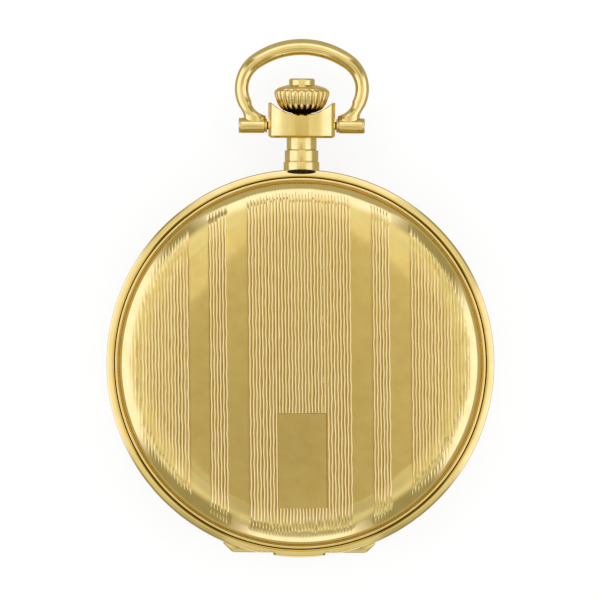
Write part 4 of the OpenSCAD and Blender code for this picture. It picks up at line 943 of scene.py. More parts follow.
def petal(name):
    """One rib along +X, its foot sunk in the core, wide and round at the top and pointed at the bottom.

    The powers below one make its outline and its section fuller than a plain arc.
    """
    points, faces = [], []
    low = CROWN_LOW + PETAL_FOOT
    for i in range(PETAL_ROWS):
        t = i / (PETAL_ROWS - 1)
        y = low + (PETAL_TOP - low) * t
        outer = crown_radius(y)
        top = math.sqrt(max(0.0, 1 - max(0.0, (t - 1 + TOP_ROUND) / TOP_ROUND) ** 2))
        tip = math.sqrt(max(0.0, 1 - max(0.0, (TIP_ROUND - t) / TIP_ROUND) ** 2))
        taper = 0.5 + 0.5 * min(1.0, t / TIP_TAPER) ** 0.8
        half = outer * math.tan(math.pi / CROWN_RIBS) * PETAL_FILL * max(top * tip * taper, 0.04)
        base = outer - PETAL_RISE - PETAL_SUNK
        tall = (PETAL_RISE + PETAL_SUNK) * max(min(top, tip), 0.1) ** 0.6
        for k in range(PETAL_ARC + 1):
            a = math.pi * k / PETAL_ARC
            points.append((base + tall * math.sin(a) ** 0.7, half * math.cos(a), y - CROWN_LOW))
    width = PETAL_ARC + 1
    for i in range(PETAL_ROWS - 1):
        row = i * width
        faces += [(row + k, row + k + 1, row + width + k + 1, row + width + k) for k in range(PETAL_ARC)]
        faces.append((row + PETAL_ARC, row, row + width, row + width + PETAL_ARC))
    faces.append(tuple(range(width)))
    faces.append(tuple(reversed(range((PETAL_ROWS - 1) * width, PETAL_ROWS * width))))
    return piece_from(name, points, faces, sharp=60)


print(f"crown: {CROWN_RIBS} ribs")

# %% [markdown]
# The ring tree takes a count, a radius, a first angle and a material as inputs. It makes as many points,
# moves each to its angle round Z, sets a copy of the piece there, turned to face outwards, and realizes the
# copies, because the export drops instances.

# %% A Geometry Nodes tree that sets copies round an axis


def ring_tree(name):
    """Copies of the modifier's own object round Z, inputs Count, Radius, First Angle and Material."""
    made = bpy.data.node_groups.new(name, "GeometryNodeTree")
    for socket, kind in (("Geometry", "Geometry"), ("Count", "Int"), ("Radius", "Float"),
                         ("First Angle", "Float"), ("Material", "Material")):
        made.interface.new_socket(socket, in_out="INPUT", socket_type="NodeSocket" + kind)
    made.interface.new_socket("Geometry", in_out="OUTPUT", socket_type="NodeSocketGeometry")
    given = add(made, "NodeGroupInput").outputs
    places = add(made, "GeometryNodePoints", {"Count": given["Count"]})
    number = add(made, "GeometryNodeInputIndex").outputs[0]
    step = add(made, "ShaderNodeMath", {0: math.tau, 1: given["Count"]}, operation="DIVIDE")
    angle = add(made, "ShaderNodeMath", {0: number, 1: step.outputs[0], 2: given["First Angle"]},
                operation="MULTIPLY_ADD").outputs[0]
    turn = add(made, "ShaderNodeCombineXYZ", {"Z": angle})
    cosine = add(made, "ShaderNodeMath", {0: angle}, operation="COSINE").outputs[0]
    sine = add(made, "ShaderNodeMath", {0: angle}, operation="SINE").outputs[0]
    x = add(made, "ShaderNodeMath", {0: cosine, 1: given["Radius"]}, operation="MULTIPLY").outputs[0]
    y = add(made, "ShaderNodeMath", {0: sine, 1: given["Radius"]}, operation="MULTIPLY").outputs[0]
    spot = add(made, "ShaderNodeCombineXYZ", {"X": x, "Y": y})
    put = add(made, "GeometryNodeSetPosition", {"Geometry": places.outputs[0], "Position": spot.outputs[0]})
    copies = add(made, "GeometryNodeInstanceOnPoints",
                 {"Points": put.outputs[0], "Instance": given["Geometry"], "Rotation": turn.outputs[0]})
    real = add(made, "GeometryNodeRealizeInstances", {"Geometry": copies.outputs[0]})
    painted = add(made, "GeometryNodeSetMaterial",
                  {"Geometry": real.outputs[0], "Material": given["Material"]})
    add(made, "NodeGroupOutput", {"Geometry": painted.outputs[0]})
    return made


RING = ring_tree("copies_round_an_axis")


def ring_of(piece, count, radius_mm, first_angle, material):
    """Replaces a piece by copies of it round Z, made by the ring tree."""
    modifier = piece.modifiers.new("ring", "NODES")
    modifier.node_group = RING
    values = {"Count": count, "Radius": radius_mm * MM, "First Angle": first_angle, "Material": material}
    for item in RING.interface.items_tree:
        if item.in_out == "INPUT" and item.name in values:
            modifier[item.identifier] = values[item.name]
    return baked(piece)


def stand_on_stem(piece, y_mm):
    """Moves a mesh made round Z so that it stands round the stem's axis, its foot at a place along Y."""
    turn = Matrix.Rotation(math.radians(-90), 4, "X")
    piece.data.transform(Matrix.Translation((0, y_mm * MM, MID_Z * MM)) @ turn)
    return piece


# The hollow underside of the crown, painted dark as painted shade between it and the head.
UNDERSIDE = [(0.8, 29.9), (1.1, 29.9), (1.1, 30.32), (1.68, 30.47), (2.16, 30.68), (2.46, 30.92),
             (2.66, 31.2), (1.7, 31.0), (0.8, 31.0)]
ribs = ring_of(petal("crown_ribs"), CROWN_RIBS, 0.0, math.pi / CROWN_RIBS, soft_gold)
dress(smooth(stand_on_stem(ribs, CROWN_LOW), sharp=60), "crown", "gold_plate", soft_gold)
dress(crown_core("crown_core"), "crown", "gold_plate", soft_gold, "crown")
# The underside's dark gold is painted shade.
dress(turned("crown_underside_shade", UNDERSIDE, STEM_AXIS, steps=64), "crown", "gold_plate", painted_shade_gold)
print(f"crown ribs: {len(ribs.data.polygons)} faces")

# %% [markdown]
# The button sits in the crown and is slightly dished, so a thumb finds it.

# %% The button
BUTTON_ROUND = 0.06
BUTTON = [(0.0, 34.52), (0.9, 34.53), (1.3, 34.56), (1.42, 34.55), (1.57, 34.4), (1.57, 32.75),
          (0.4, 32.75), (0.4, 33.86), (0.0, 33.86)]
button = turned("button_turned", rounded(BUTTON, BUTTON_ROUND), STEM_AXIS, steps=64)
dress(button, "button", "gold_plate", soft_gold, "lid_button")
print("button made")

# %% [markdown]
# The rest of the watch keeps the shape of its solids. A copy of each solid's mesh is welded, its flat
# faces are merged, and its edges are rounded by an amount that suits its size. The copy stands for the
# solid, which is then hidden.

# %% Polished copies of the solids
COPY_WELD_M = 2e-6
# Degrees between faces that count as one flat face, and between those that meet in a real edge.
FLAT_WITHIN = 0.5
COPY_SHARP = 32


def copied(node):
    """A welded copy of a solid's mesh with its flat faces merged."""
    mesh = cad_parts[node].data.copy()
    mesh.name = node + "_finished"
    piece = in_scene(mesh.name, mesh)
    work = bmesh.new()
    work.from_mesh(mesh)
    bmesh.ops.remove_doubles(work, verts=work.verts, dist=COPY_WELD_M)
    bmesh.ops.dissolve_limit(work, angle_limit=math.radians(FLAT_WITHIN), verts=work.verts, edges=work.edges)
    bmesh.ops.recalc_face_normals(work, faces=work.faces)
    work.to_mesh(mesh)
    work.free()
    return piece


def polished(node, body, slot, material, edge_mm):
    """A solid's own shape in a material, its edges rounded unless edge_mm is zero."""
    piece = copied(node)
    if edge_mm:
        softened(piece, edge_mm, COPY_SHARP)
    else:
        finish_mesh(piece, COPY_SHARP)
    dress(piece, body, slot, material, node)


polished("case_band", "case", "gold_plate", gold_plate, 0.06)
print("case band dressed")

# %% [markdown]
# Inside the case the metals differ on purpose. The plates are rhodium plated over a fine grain, so they
# look pale and frosted. The wheels are gilt, which gives a warm satin. The winding parts are brushed steel,
# grey with fine lines one way. Screws and hands are steel heated until it turns blue, which stays glossy.
# The bow's screws were blackened in hot oil, so they are dark between the bright sleeves and the head.

# %% Materials inside the case
# Real grain is some hundredths of a millimetre, which is about as coarse as the pictures can show.
GRAIN_HEIGHT_MM = 0.002
BRUSHED_ONE_WAY = (1, 0.1, 1)
EVEN = (1, 1, 1)


def grained_metal(name, pale, deep, roughness, grain_mm, stretch=EVEN):
    """A bare metal whose fine grain gives its tones, its gloss and its bump."""
    material, tree, shader, place = started_material(name)
    mapped = add(tree, "ShaderNodeMapping", {"Vector": place, "Scale": stretch})
    grain = add(tree, "ShaderNodeTexNoise", {"Vector": mapped.outputs[0], "Scale": 1 / (grain_mm * MM),
                                             "Detail": 3.0}).outputs["Fac"]
    metal_surface(tree, shader, grain, grain, (deep, pale), (0.35, 0.65),
                  (roughness * 0.8, roughness * 1.25), (GRAIN_HEIGHT_MM, 0.6))
    return material


steel = grained_metal("brushed_steel", "#C9CBCE", "#AEB1B5", 0.28, 0.06, BRUSHED_ONE_WAY)
black_steel = grained_metal("oil_blackened_steel", "#3A3733", "#26231F", 0.35, 0.1)
rhodium = grained_metal("rhodium_plated_brass", "#D3D1CC", "#BDBAB3", 0.3, 0.08)
gilt = grained_metal("gilt_brass", "#D9B569", "#C79E50", 0.3, 0.05)
blued = grained_metal("heat_blued_steel", "#27469A", "#1A2F77", 0.2, 0.08)
print("metals ready")

# %% [markdown]
# The bridges carry straight stripes, ground one beside the other with a round stone. Each stripe is a very
# shallow trough, so it turns dark on one side and bright on the other as the watch is tilted. Its colour is
# also painted darker along each stripe, as painted shade.

# %% Striped bridges
STRIPE_MM = 1.5
STRIPE_SLANT = 38
STRIPE_DEPTH_MM = 0.02
# What a wave texture of scale 1 repeats in.
WAVE_PERIOD_M = math.tau / 20
striped = grained_metal("striped_rhodium_bridge", "#D8D5CF", "#C2BEB6", 0.22, 0.08)
tree = striped.node_tree
shader = tree.nodes["Principled BSDF"]
place = add(tree, "ShaderNodeTexCoord").outputs["Object"]
slanted = add(tree, "ShaderNodeMapping", {"Vector": place, "Rotation": (0, 0, math.radians(STRIPE_SLANT))})
stripe = add(tree, "ShaderNodeTexWave", {"Vector": slanted.outputs[0], "Distortion": 0.0,
                                         "Scale": WAVE_PERIOD_M / (STRIPE_MM * MM)})
# Paints the stripes darker along one side, as painted shade.
shade = add(tree, "ShaderNodeMix", {0: stripe.outputs["Fac"], 6: linear("#A5A19A"),
                                    7: shader.inputs["Base Color"].links[0].from_socket}, data_type="RGBA")
trough = add(tree, "ShaderNodeBump", {"Height": stripe.outputs["Fac"], "Distance": STRIPE_DEPTH_MM * MM,
                                      "Strength": 1.0,
                                      "Normal": shader.inputs["Normal"].links[0].from_socket})
tree.links.new(shade.outputs[2], shader.inputs["Base Color"])
tree.links.new(trough.outputs["Normal"], shader.inputs["Normal"])
print("stripes:", STRIPE_MM, "mm apart")

# %% [markdown]
# Glass, ruby, rubber and enamel aren't metals, so metallic is zero and the colour is in the body of the
# material. The crystal is ground and polished glass that shows only as a faint gleam. Rubies are polished
# too and let a little light in. Rubber is dull. Enamel is glass fused to the dial: very smooth, white, and a
# little uneven in tone. Its print is black enamel fired on top, a little less glossy.

# %% Crystal, ruby, rubber and enamel


def body_material(name, pale, deep, roughness, patch_mm, **values):
    """A material with its colour in its body, in two close tones."""
    material, tree, shader, place = started_material(name)
    patch = add(tree, "ShaderNodeTexNoise", {"Vector": place, "Scale": 1 / (patch_mm * MM), "Detail": 2.0})
    tones = add(tree, "ShaderNodeMix", {0: patch.outputs["Fac"], 6: linear(deep), 7: linear(pale)},
                data_type="RGBA")
    tree.links.new(tones.outputs[2], shader.inputs["Base Color"])
    shader.inputs["Roughness"].default_value = roughness
    for key, value in values.items():
        shader.inputs[key.replace("_", " ")].default_value = value
    return material


glass = body_material("mineral_glass", "#FFFFFF", "#F8FBFB", 0.01, 4.0, Transmission_Weight=1.0, IOR=1.5)
ruby = body_material("synthetic_ruby", "#B3123A", "#8E0B2C", 0.05, 0.4, Transmission_Weight=0.35, IOR=1.76)
rubber = body_material("black_rubber", "#1F1F20", "#161617", 0.6, 0.3)
enamel = body_material("fired_enamel", "#F4F2EA", "#EFEDE3", 0.08, 3.0, Coat_Weight=0.5)
ink = body_material("fired_black_ink", "#17171A", "#101012", 0.3, 0.5)
print("body materials ready")

# %% [markdown]
# Now each solid gets its copy. The bezel is gold, the crystal is glass, and every other part takes the
# material that its slot names. Pieces that are too thin, or have no edge to round, have zero there.

# %% The rest of the watch
# Body, slot, material, round on the edges in millimetres, and the solids.
REST = (
    ("case", "gold_plate", gold_plate, 0.05, ("bezel",)),
    ("case", "steel", black_steel, 0.03, ("bow_screws",)),
    ("case", "steel", steel, 0.03, ("front_hinge_pin", "back_hinge_pin", "lift_spring", "click_spring",
                                    "regulator")),
    ("case", "blued_steel", blued, 0.03, ("spring_screws", "case_screws", "bridge_screws")),
    ("case", "plated_movement", rhodium, 0.05, ("movement_ring", "main_plate")),
    ("case", "plated_movement", striped, 0.05, ("barrel_bridge", "train_bridge", "pallet_cock",
                                                "balance_cock")),
    ("case", "crystal", glass, 0, ("crystal",)),
    ("case", "ruby", ruby, 0.03, ("jewels",)),
    ("case", "dial_enamel", enamel, 0.04, ("dial",)),
    ("crown_slide", "seal", rubber, 0, ("crown_seal",)),
    ("crown", "steel", steel, 0.03, ("winding_stem",)),
    ("button", "steel", steel, 0.02, ("push_rod", "cross_pin", "push_collar", "button_spring")),
    ("lock_spring", "steel", steel, 0.03, ("lock_spring",)),
    ("stem_pinions", "steel", steel, 0.02, ("winding_pinion", "sliding_pinion")),
    ("crown_wheel", "steel", steel, 0.02, ("crown_wheel",)),
    ("ratchet", "steel", steel, 0.02, ("ratchet_wheel", "barrel_arbor")),
    ("click", "steel", steel, 0.02, ("click",)),
    ("setting_lever", "steel", steel, 0.02, ("setting_lever",)),
    ("yoke_lever", "steel", steel, 0.02, ("yoke_lever",)),
    ("barrel", "gilt_brass", gilt, 0.02, ("barrel",)),
    ("barrel", "steel", steel, 0, ("mainspring",)),
    ("centre", "gilt_brass", gilt, 0.015, ("centre_wheel",)),
    ("centre", "steel", steel, 0.015, ("cannon_pinion",)),
    ("centre", "blued_steel", blued, 0.03, ("minute_hand",)),
    ("third", "gilt_brass", gilt, 0.015, ("third_wheel",)),
    ("fourth", "gilt_brass", gilt, 0.015, ("fourth_wheel",)),
    ("fourth", "blued_steel", blued, 0.015, ("second_hand",)),
    ("escape", "steel", steel, 0, ("escape_wheel",)),
    ("minute_wheel", "gilt_brass", gilt, 0.015, ("minute_wheel",)),
    ("hour_wheel", "gilt_brass", gilt, 0.015, ("hour_wheel",)),
    ("hour_wheel", "blued_steel", blued, 0.03, ("hour_hand",)),
    ("setting_wheel", "steel", steel, 0.015, ("setting_wheel",)),
    ("pallet_fork", "steel", steel, 0, ("pallet_fork",)),
    ("balance", "gilt_brass", gilt, 0.02, ("balance_wheel",)),
    ("balance", "blued_steel", blued, 0, ("hairspring",)),
)
for body, slot, material, edge_mm, nodes in REST:
    for node in nodes:
        polished(node, body, slot, material, edge_mm)
print(f"{sum(len(row[4]) for row in REST)} solids dressed")

# %% [markdown]
# The dial's figures are Roman, painted in black enamel and fired. Every figure is made of straight strokes:
# thick ones, thin ones and the short feet that close them. They stand with their feet to the middle, and
# six o'clock has none, because the small seconds dial takes its place.

# %% The dial's figures
DIAL_TOP = 8.3
PAINT = 0.02
PAINT_SUNK = 0.01
FIGURE_R = 15.3
FIGURE_H = 3.1
THICK = 0.46
THIN = 0.13
SERIF = 0.02
# Each letter's width in millimetres, and its strokes: across in millimetres and up as a share of the
# figure's height at one end, the same at the other end, and the stroke's width.
STROKES = {"I": (0.62, ((0.31, 0, 0.31, 1, THICK),)),
           "V": (1.25, ((0.3, 1, 0.66, 0, THICK), (1.05, 1, 0.66, 0, THIN))),
           "X": (1.25, ((0.25, 1, 1.0, 0, THICK), (0.98, 1, 0.27, 0, THIN)))}
FIGURES = {1: "I", 2: "II", 3: "III", 4: "IIII", 5: "V", 7: "VII", 8: "VIII", 9: "IX", 10: "X", 11: "XI",
           12: "XII"}


def slab(points, faces, corners, low, high):
    """Adds a flat four-cornered piece between two heights to lists of points and faces."""
    first = len(points)
    points += [(x, y, z) for z in (low, high) for x, y in corners]
    faces += [tuple(first + k for k in (0, 1, 2, 3)), tuple(first + k for k in (7, 6, 5, 4))]
    faces += [(first + k, first + (k + 1) % 4, first + 4 + (k + 1) % 4, first + 4 + k) for k in range(4)]


def figure(points, faces, text, hour):
    """One Roman figure at its hour, as slabs of paint."""
    width = sum(STROKES[c][0] for c in text)
    a = math.radians(90 - 30 * hour)
    up, right = (math.cos(a), math.sin(a)), (math.sin(a), -math.cos(a))

    def paint(*corners):
        """A slab over four corners, each across in millimetres and up as a share of the height."""
        placed = []
        for x, y in corners:
            v = FIGURE_R + (y - 0.5) * FIGURE_H
            placed.append((up[0] * v + right[0] * x, up[1] * v + right[1] * x))
        slab(points, faces, placed, DIAL_TOP - PAINT_SUNK, DIAL_TOP + PAINT)

    left = -width / 2
    for c in text:
        for x1, y1, x2, y2, thick in STROKES[c][1]:
            h = thick / 2
            paint((left + x1 - h, y1), (left + x1 + h, y1), (left + x2 + h, y2), (left + x2 - h, y2))
        left += STROKES[c][0]
    for y, t in ((0.0, -SERIF), (1.0, SERIF)):
        paint((-width / 2, y), (width / 2, y), (width / 2, y + t), (-width / 2, y + t))


points, faces = [], []
for hour, text in FIGURES.items():
    figure(points, faces, text, hour)
dress(piece_from("dial_figures", points, faces), "case", None, ink)
print(f"dial: {len(FIGURES)} figures")

# %% [markdown]
# The minute track and the seconds track are rings of ticks, set by the same ring tree as the crown's
# ribs, between thin circles.

# %% Ticks and circles
MIDDLE = (0.0, 0.0)
SECONDS_AT = (0.0, -9.0)
SECONDS_TOP = DIAL_TOP - 0.1


def tick(name, inner, outer, width):
    """A tick along +X, standing on the height zero."""
    points, faces = [], []
    h = width / 2
    slab(points, faces, [(inner, -h), (outer, -h), (outer, h), (inner, h)], -PAINT_SUNK, PAINT)
    return piece_from(name, points, faces)


def track(name, inner, outer, width, count, centre, height):
    """A ring of ticks round a place on the dial."""
    ticks = ring_of(tick(name, inner, outer, width), count, 0.0, 0.0, ink)
    ticks.data.transform(Matrix.Translation((centre[0] * MM, centre[1] * MM, height * MM)))
    dress(finish_mesh(ticks), "case", None, ink)


def circle(name, radius, width, centre, height):
    """A thin painted circle round a place on the dial."""
    section = [(radius - width / 2, height - PAINT_SUNK), (radius + width / 2, height - PAINT_SUNK),
               (radius + width / 2, height + PAINT), (radius - width / 2, height + PAINT)]
    dress(turned(name, section, about_z(centre), steps=160), "case", None, ink)


# Inner and outer radius, width and number of ticks; radius and width of a circle.
track("minute_ticks", 17.55, 18.15, 0.09, 60, MIDDLE, DIAL_TOP)
track("five_minute_ticks", 17.4, 18.25, 0.26, 12, MIDDLE, DIAL_TOP)
circle("minute_circle", 18.2, 0.07, MIDDLE, DIAL_TOP)
track("second_ticks", 3.35, 3.75, 0.05, 60, SECONDS_AT, SECONDS_TOP)
track("five_second_ticks", 3.1, 3.75, 0.12, 12, SECONDS_AT, SECONDS_TOP)
circle("second_circle", 3.78, 0.05, SECONDS_AT, SECONDS_TOP)
print("tracks painted")

# %% [markdown]
# Polished gold shows what it reflects, so the light is built as a small studio. The world is white where
# the camera, a reflection or the crystal sees it, and a little dimmer as light. Cards and a dome that only
# reflections see give the metal its bright and dark stretches, and soft boxes that reflections don't see
# light everything else.

# %% The world


def cleared_tree(owner):
    """The empty node tree of a world or a material."""
    owner.use_nodes = True
    owner.node_tree.nodes.clear()
    return owner.node_tree


WHITE = (1, 1, 1, 1)
ROOM_LIGHT = 0.7
scene.world = bpy.data.worlds.new("studio")
tree = cleared_tree(scene.world)
rays = add(tree, "ShaderNodeLightPath").outputs
seen = add(tree, "ShaderNodeMath", {0: rays["Is Camera Ray"], 1: rays["Is Glossy Ray"]}, operation="MAXIMUM")
seen = add(tree, "ShaderNodeMath", {0: seen.outputs[0], 1: rays["Is Transmission Ray"]}, operation="MAXIMUM")
plain_white = add(tree, "ShaderNodeBackground", {"Color": WHITE, "Strength": 1.0})
room = add(tree, "ShaderNodeBackground", {"Color": WHITE, "Strength": ROOM_LIGHT})
mixed = add(tree, "ShaderNodeMixShader",
            {0: seen.outputs[0], 1: room.outputs[0], 2: plain_white.outputs[0]})
add(tree, "ShaderNodeOutputWorld", {"Surface": mixed.outputs[0]})
print("world ready")

# %% [markdown]
# A card is glowing paper that only reflections see: it casts no shadow, and the camera and the diffuse
# light pass it by. One hangs over the middle, dim and eight-sided, where the camera of such a picture
# stands. The flat bands of the lid mirror it. A brighter card goes on from its edge.

# %% Cards over the watch
CARD_H = 0.4
# The dim card's corners, from the upper left round to the right, with the glow of each.
OCTAGON_MM = ((-12, 32), (12, 33.5), (33, 17), (33, -25), (20, -42), (-14, -42), (-32, -19.5), (-32, 9))
OCTAGON_GLOW = (0.71, 0.745, 0.745, 0.68, 0.64, 0.59, 0.6, 0.645)
OCTAGON_MIDDLE_MM = (0, -22)
OCTAGON_MIDDLE_GLOW = 0.535
OCTAGON_TINT = "#FFF5DE"
# The brighter card's outer radius, its glow, and how that changes above, to the right and below.
RING_R = 0.14
RING_TINT = "#FFF9EE"
RING_GLOW = 0.9
RING_ABOVE = 0.13
RING_RIGHT = 0.03
RING_BELOW = 0.14


def only_reflected(piece):
    """Leaves a studio piece to reflections alone."""
    piece.visible_camera = False
    piece.visible_diffuse = False
    piece.visible_shadow = False
    piece.visible_transmission = False


glowing_paper = bpy.data.materials.new("glowing_paper")
tree = cleared_tree(glowing_paper)
colour = add(tree, "ShaderNodeAttribute", attribute_name="glow").outputs["Color"]
lit = add(tree, "ShaderNodeEmission", {"Color": colour, "Strength": 1.0})
add(tree, "ShaderNodeOutputMaterial", {"Surface": lit.outputs[0]})


def card(name, points_m, faces, glows):
    """A surface seen only in reflections, with a glow for each of its points."""
    mesh = bpy.data.meshes.new(name)
    mesh.from_pydata(points_m, [], faces)
    colours = [value for glow in glows for value in (*glow, 1.0)]
    mesh.attributes.new("glow", "FLOAT_COLOR", "POINT").data.foreach_set("color", colours)
    mesh.materials.append(glowing_paper)
    only_reflected(in_scene(name, mesh))


def tinted(tint, strength):
    """The glow of paper of one colour."""
    return [value * strength for value in linear(tint)[:3]]


def ring_strength(angle):
    """The glow of the brighter card: strongest above in the picture, weakest below."""
    s, c = math.sin(angle), math.cos(angle)
    return RING_GLOW + RING_ABOVE * s + RING_RIGHT * c - RING_BELOW * max(0.0, -s) ** 4


corners = [(x * MM, y * MM, CARD_H) for x, y in OCTAGON_MM]
sides = len(corners)
middle = (OCTAGON_MIDDLE_MM[0] * MM, OCTAGON_MIDDLE_MM[1] * MM, CARD_H)
card("camera_side_card", corners + [middle], [(k, (k + 1) % sides, sides) for k in range(sides)],
     [tinted(OCTAGON_TINT, g) for g in (*OCTAGON_GLOW, OCTAGON_MIDDLE_GLOW)])
angles = [math.atan2(corner[1], corner[0]) for corner in corners]
ring = [(RING_R * math.cos(a), RING_R * math.sin(a), CARD_H) for a in angles]
card("upper_card", corners + ring,
     [(k, (k + 1) % sides, sides + (k + 1) % sides, sides + k) for k in range(sides)],
     [tinted(RING_TINT, ring_strength(a)) for a in angles * 2])
print(f"cards ready, {sides} corners")

# %% [markdown]
# The watch lies on white paper. The camera sees the paper nearly as plain white, with a little of its real
# shade left for the soft shadow. Polished metal sees it dim and warm, which gives the bow and the case their
# darker lower sides. From below the paper is clear, so the back and the movement can be looked at.

# %% The paper on the floor
FLOOR_HALF = 0.6
FLOOR_Z = -0.00004
FLOOR_IN_METAL = 0.55
WHITENED = 0.85
floor_mesh = bpy.data.meshes.new("floor")
floor_mesh.from_pydata([(x * FLOOR_HALF, y * FLOOR_HALF, FLOOR_Z)
                        for x, y in ((-1, -1), (1, -1), (1, 1), (-1, 1))], [], [(0, 1, 2, 3)])
paper = bpy.data.materials.new("white_paper")
tree = cleared_tree(paper)
rays = add(tree, "ShaderNodeLightPath").outputs
matt = add(tree, "ShaderNodeBsdfDiffuse", {"Color": linear("#F4F4F4")})
white = add(tree, "ShaderNodeEmission", {"Color": WHITE, "Strength": 1.0})
warm = add(tree, "ShaderNodeEmission", {"Color": linear("#FFF4DC"), "Strength": FLOOR_IN_METAL})
shown = add(tree, "ShaderNodeMixShader", {0: WHITENED, 1: matt.outputs[0], 2: white.outputs[0]})
mirrored = add(tree, "ShaderNodeMixShader",
               {0: rays["Is Glossy Ray"], 1: matt.outputs[0], 2: warm.outputs[0]})
both = add(tree, "ShaderNodeMixShader",
           {0: rays["Is Camera Ray"], 1: mirrored.outputs[0], 2: shown.outputs[0]})
under = add(tree, "ShaderNodeNewGeometry").outputs["Backfacing"]
clear = add(tree, "ShaderNodeBsdfTransparent")
one_sided = add(tree, "ShaderNodeMixShader", {0: under, 1: both.outputs[0], 2: clear.outputs[0]})
add(tree, "ShaderNodeOutputMaterial", {"Surface": one_sided.outputs[0]})
floor_mesh.materials.append(paper)
in_scene("floor", floor_mesh)
print(f"floor: {FLOOR_HALF * 2} m wide")

# %% [markdown]
# Round the watch hangs a paper dome that only reflections see. It glows brightest low down on four sides,
# left, right, above and below in the picture, and is dim on the diagonals, near the horizon and just
# round the card overhead. The round shoulder of the lid and the wire of the bow mirror those stretches in
# turn, which is what makes the metal read as polished. The glow is an attribute of the dome's points.

# %% The dome
DOME_R = 0.35
DOME_COLUMNS = 120
# Elevations in degrees, closest together where the glow changes most.
DOME_ROWS = (0, 3, 6, 9, 12, 16, 20, 24, 27, 30, 34, 38, 42, 46, 50, 54, 58, 62, 65, 68, 71, 74, 77, 80)
# Red, green and blue of the bright stretches and of the dim ones between them. White paper is 1.
BRIGHT_GLOW = (1.42, 1.46, 2.2)
DIM_GLOW = (0.42, 0.4, 0.32)
# Middle, half width, foot and top of each bright stretch, in degrees.
BRIGHT_SIDES = ((-6, 30, 14, 51), (90, 34, 30, 50), (176, 32, 0, 48), (271, 20, 0, 28))
SOFT_EDGE = 7
FOOT_FADE = 7
TOP_FADE = 15
# The dim stretches end here, and further up towards the side below in the picture.
DIM_TOP = 46
DIM_TOP_BELOW = 8
# The side below in the picture fades out this far from its middle.
BELOW_SPAN = (15, 60)
HORIZON_GLOW = 0.55
PLAIN_GAIN = 0.5
PLAIN_FADE = 10
OVERHEAD_DIM = 0.14
OVERHEAD_LEAN = 0.1
OVERHEAD_SPAN = (60, 74)
# Below in the picture the dome has a glow of its own, with a lighter stretch that the rim mirrors.
BELOW_GLOW = 0.62
RIM_LIGHT = 0.24
RIM_LIGHT_RISE = (50, 57)
RIM_LIGHT_FALL = (63, 70)


def ramp(low, high, value):
    """Zero below one value, one above another, smooth between them."""
    t = max(0.0, min(1.0, (value - low) / (high - low)))
    return t * t * (3 - 2 * t)


def bright_side(azimuth, top):
    """How far a direction lies in a bright stretch, with that stretch's foot and top."""
    side, foot = 0.0, 0.0
    for middle, half, side_foot, side_top in BRIGHT_SIDES:
        aside = abs((azimuth - middle + 180) % 360 - 180)
        inside = 1 - ramp(half - SOFT_EDGE, half + SOFT_EDGE, aside)
        side += inside
        foot += inside * side_foot
        top += inside * (side_top - top)
    return side, foot, top


def glow(azimuth, elevation):
    """The dome's colour in a direction given in degrees."""
    below = 1 - ramp(*BELOW_SPAN, abs(azimuth - 270))
    side, foot, top = bright_side(azimuth, DIM_TOP + DIM_TOP_BELOW * below)
    band = ramp(foot, foot + FOOT_FADE, elevation) * (1 - ramp(top, top + TOP_FADE, elevation))
    risen = ramp(foot, foot + PLAIN_FADE, elevation)
    overhead = OVERHEAD_DIM - OVERHEAD_LEAN * math.sin(math.radians(azimuth))
    plain = HORIZON_GLOW + PLAIN_GAIN * risen - overhead * ramp(*OVERHEAD_SPAN, elevation)
    rim_light = RIM_LIGHT * ramp(*RIM_LIGHT_RISE, elevation) * (1 - ramp(*RIM_LIGHT_FALL, elevation))
    plain += below * risen * (BELOW_GLOW + rim_light - plain)
    return [plain + band * (side * (bright - plain) + (1 - side) * (dim - plain))
            for bright, dim in zip(BRIGHT_GLOW, DIM_GLOW)]


def on_sphere(radius, azimuth, elevation):
    """A place at a distance from the origin, in a direction given in radians."""
    flat = radius * math.cos(elevation)
    return flat * math.cos(azimuth), flat * math.sin(azimuth), radius * math.sin(elevation)


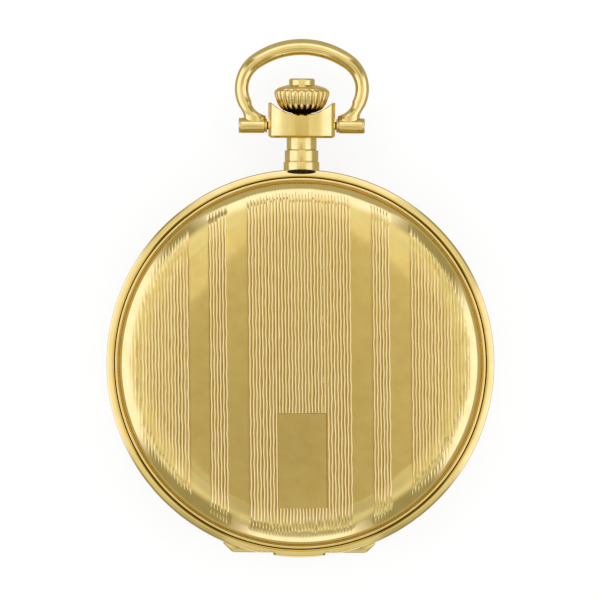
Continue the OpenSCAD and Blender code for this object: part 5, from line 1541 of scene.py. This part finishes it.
points, glows, faces = [], [], []
for i, elevation in enumerate(DOME_ROWS):
    for k in range(DOME_COLUMNS):
        points.append(on_sphere(DOME_R, math.tau * k / DOME_COLUMNS, math.radians(elevation)))
        glows.append(glow(360 * k / DOME_COLUMNS, elevation))
        if i:
            here, last = (i - 1) * DOME_COLUMNS + k, (i - 1) * DOME_COLUMNS + (k + 1) % DOME_COLUMNS
            faces.append((here, last, last + DOME_COLUMNS, here + DOME_COLUMNS))
card("dome", points, faces, glows)
print(f"dome: {len(faces)} faces")

# %% [markdown]
# The light itself comes from four large soft boxes. They give the white parts, the jewels and the floor
# their soft shadows, and reflections don't see them.

# %% Soft boxes
BOX_DISTANCE = 0.5
BOX_SIZE = 0.4
BOX_RADIANCE = 1.6
BOX_ELEVATION = 42


def soft_box(name, azimuth):
    """A square light facing the watch."""
    data = bpy.data.lights.new(name, "AREA")
    data.size = BOX_SIZE
    data.energy = BOX_RADIANCE * math.pi * BOX_SIZE ** 2
    lamp = in_scene(name, data)
    lamp.location = on_sphere(BOX_DISTANCE, math.radians(azimuth), math.radians(BOX_ELEVATION))
    lamp.rotation_euler = (-lamp.location).to_track_quat("-Z", "Y").to_euler()
    lamp.visible_camera = False
    lamp.visible_glossy = False


for name, azimuth in (("right_box", 0), ("top_box", 90), ("left_box", 180), ("bottom_box", 270)):
    soft_box(name, azimuth)
print("lights ready")

# %% [markdown]
# The photograph looks straight down on the lid from far off, and the watch leans a third of a degree to
# the right in it. A long lens repeats that, and the watch fills as much of the frame as in the picture.

# %% Camera
LENS_MM = 1486
SENSOR_MM = 36
CAMERA_AT = (-0.00009, 0.00768, 3.0115)
CAMERA_TURN = 0.32
data = bpy.data.cameras.new("camera")
data.sensor_width = SENSOR_MM
data.lens = LENS_MM
data.clip_start = 0.5
data.clip_end = 10
camera = in_scene("camera", data)
camera.location = CAMERA_AT
camera.rotation_euler = (0, 0, math.radians(CAMERA_TURN))
scene.camera = camera
scene.view_settings.view_transform = "Standard"
print(f"camera ready, {CAMERA_AT[2]:.2f} m up")
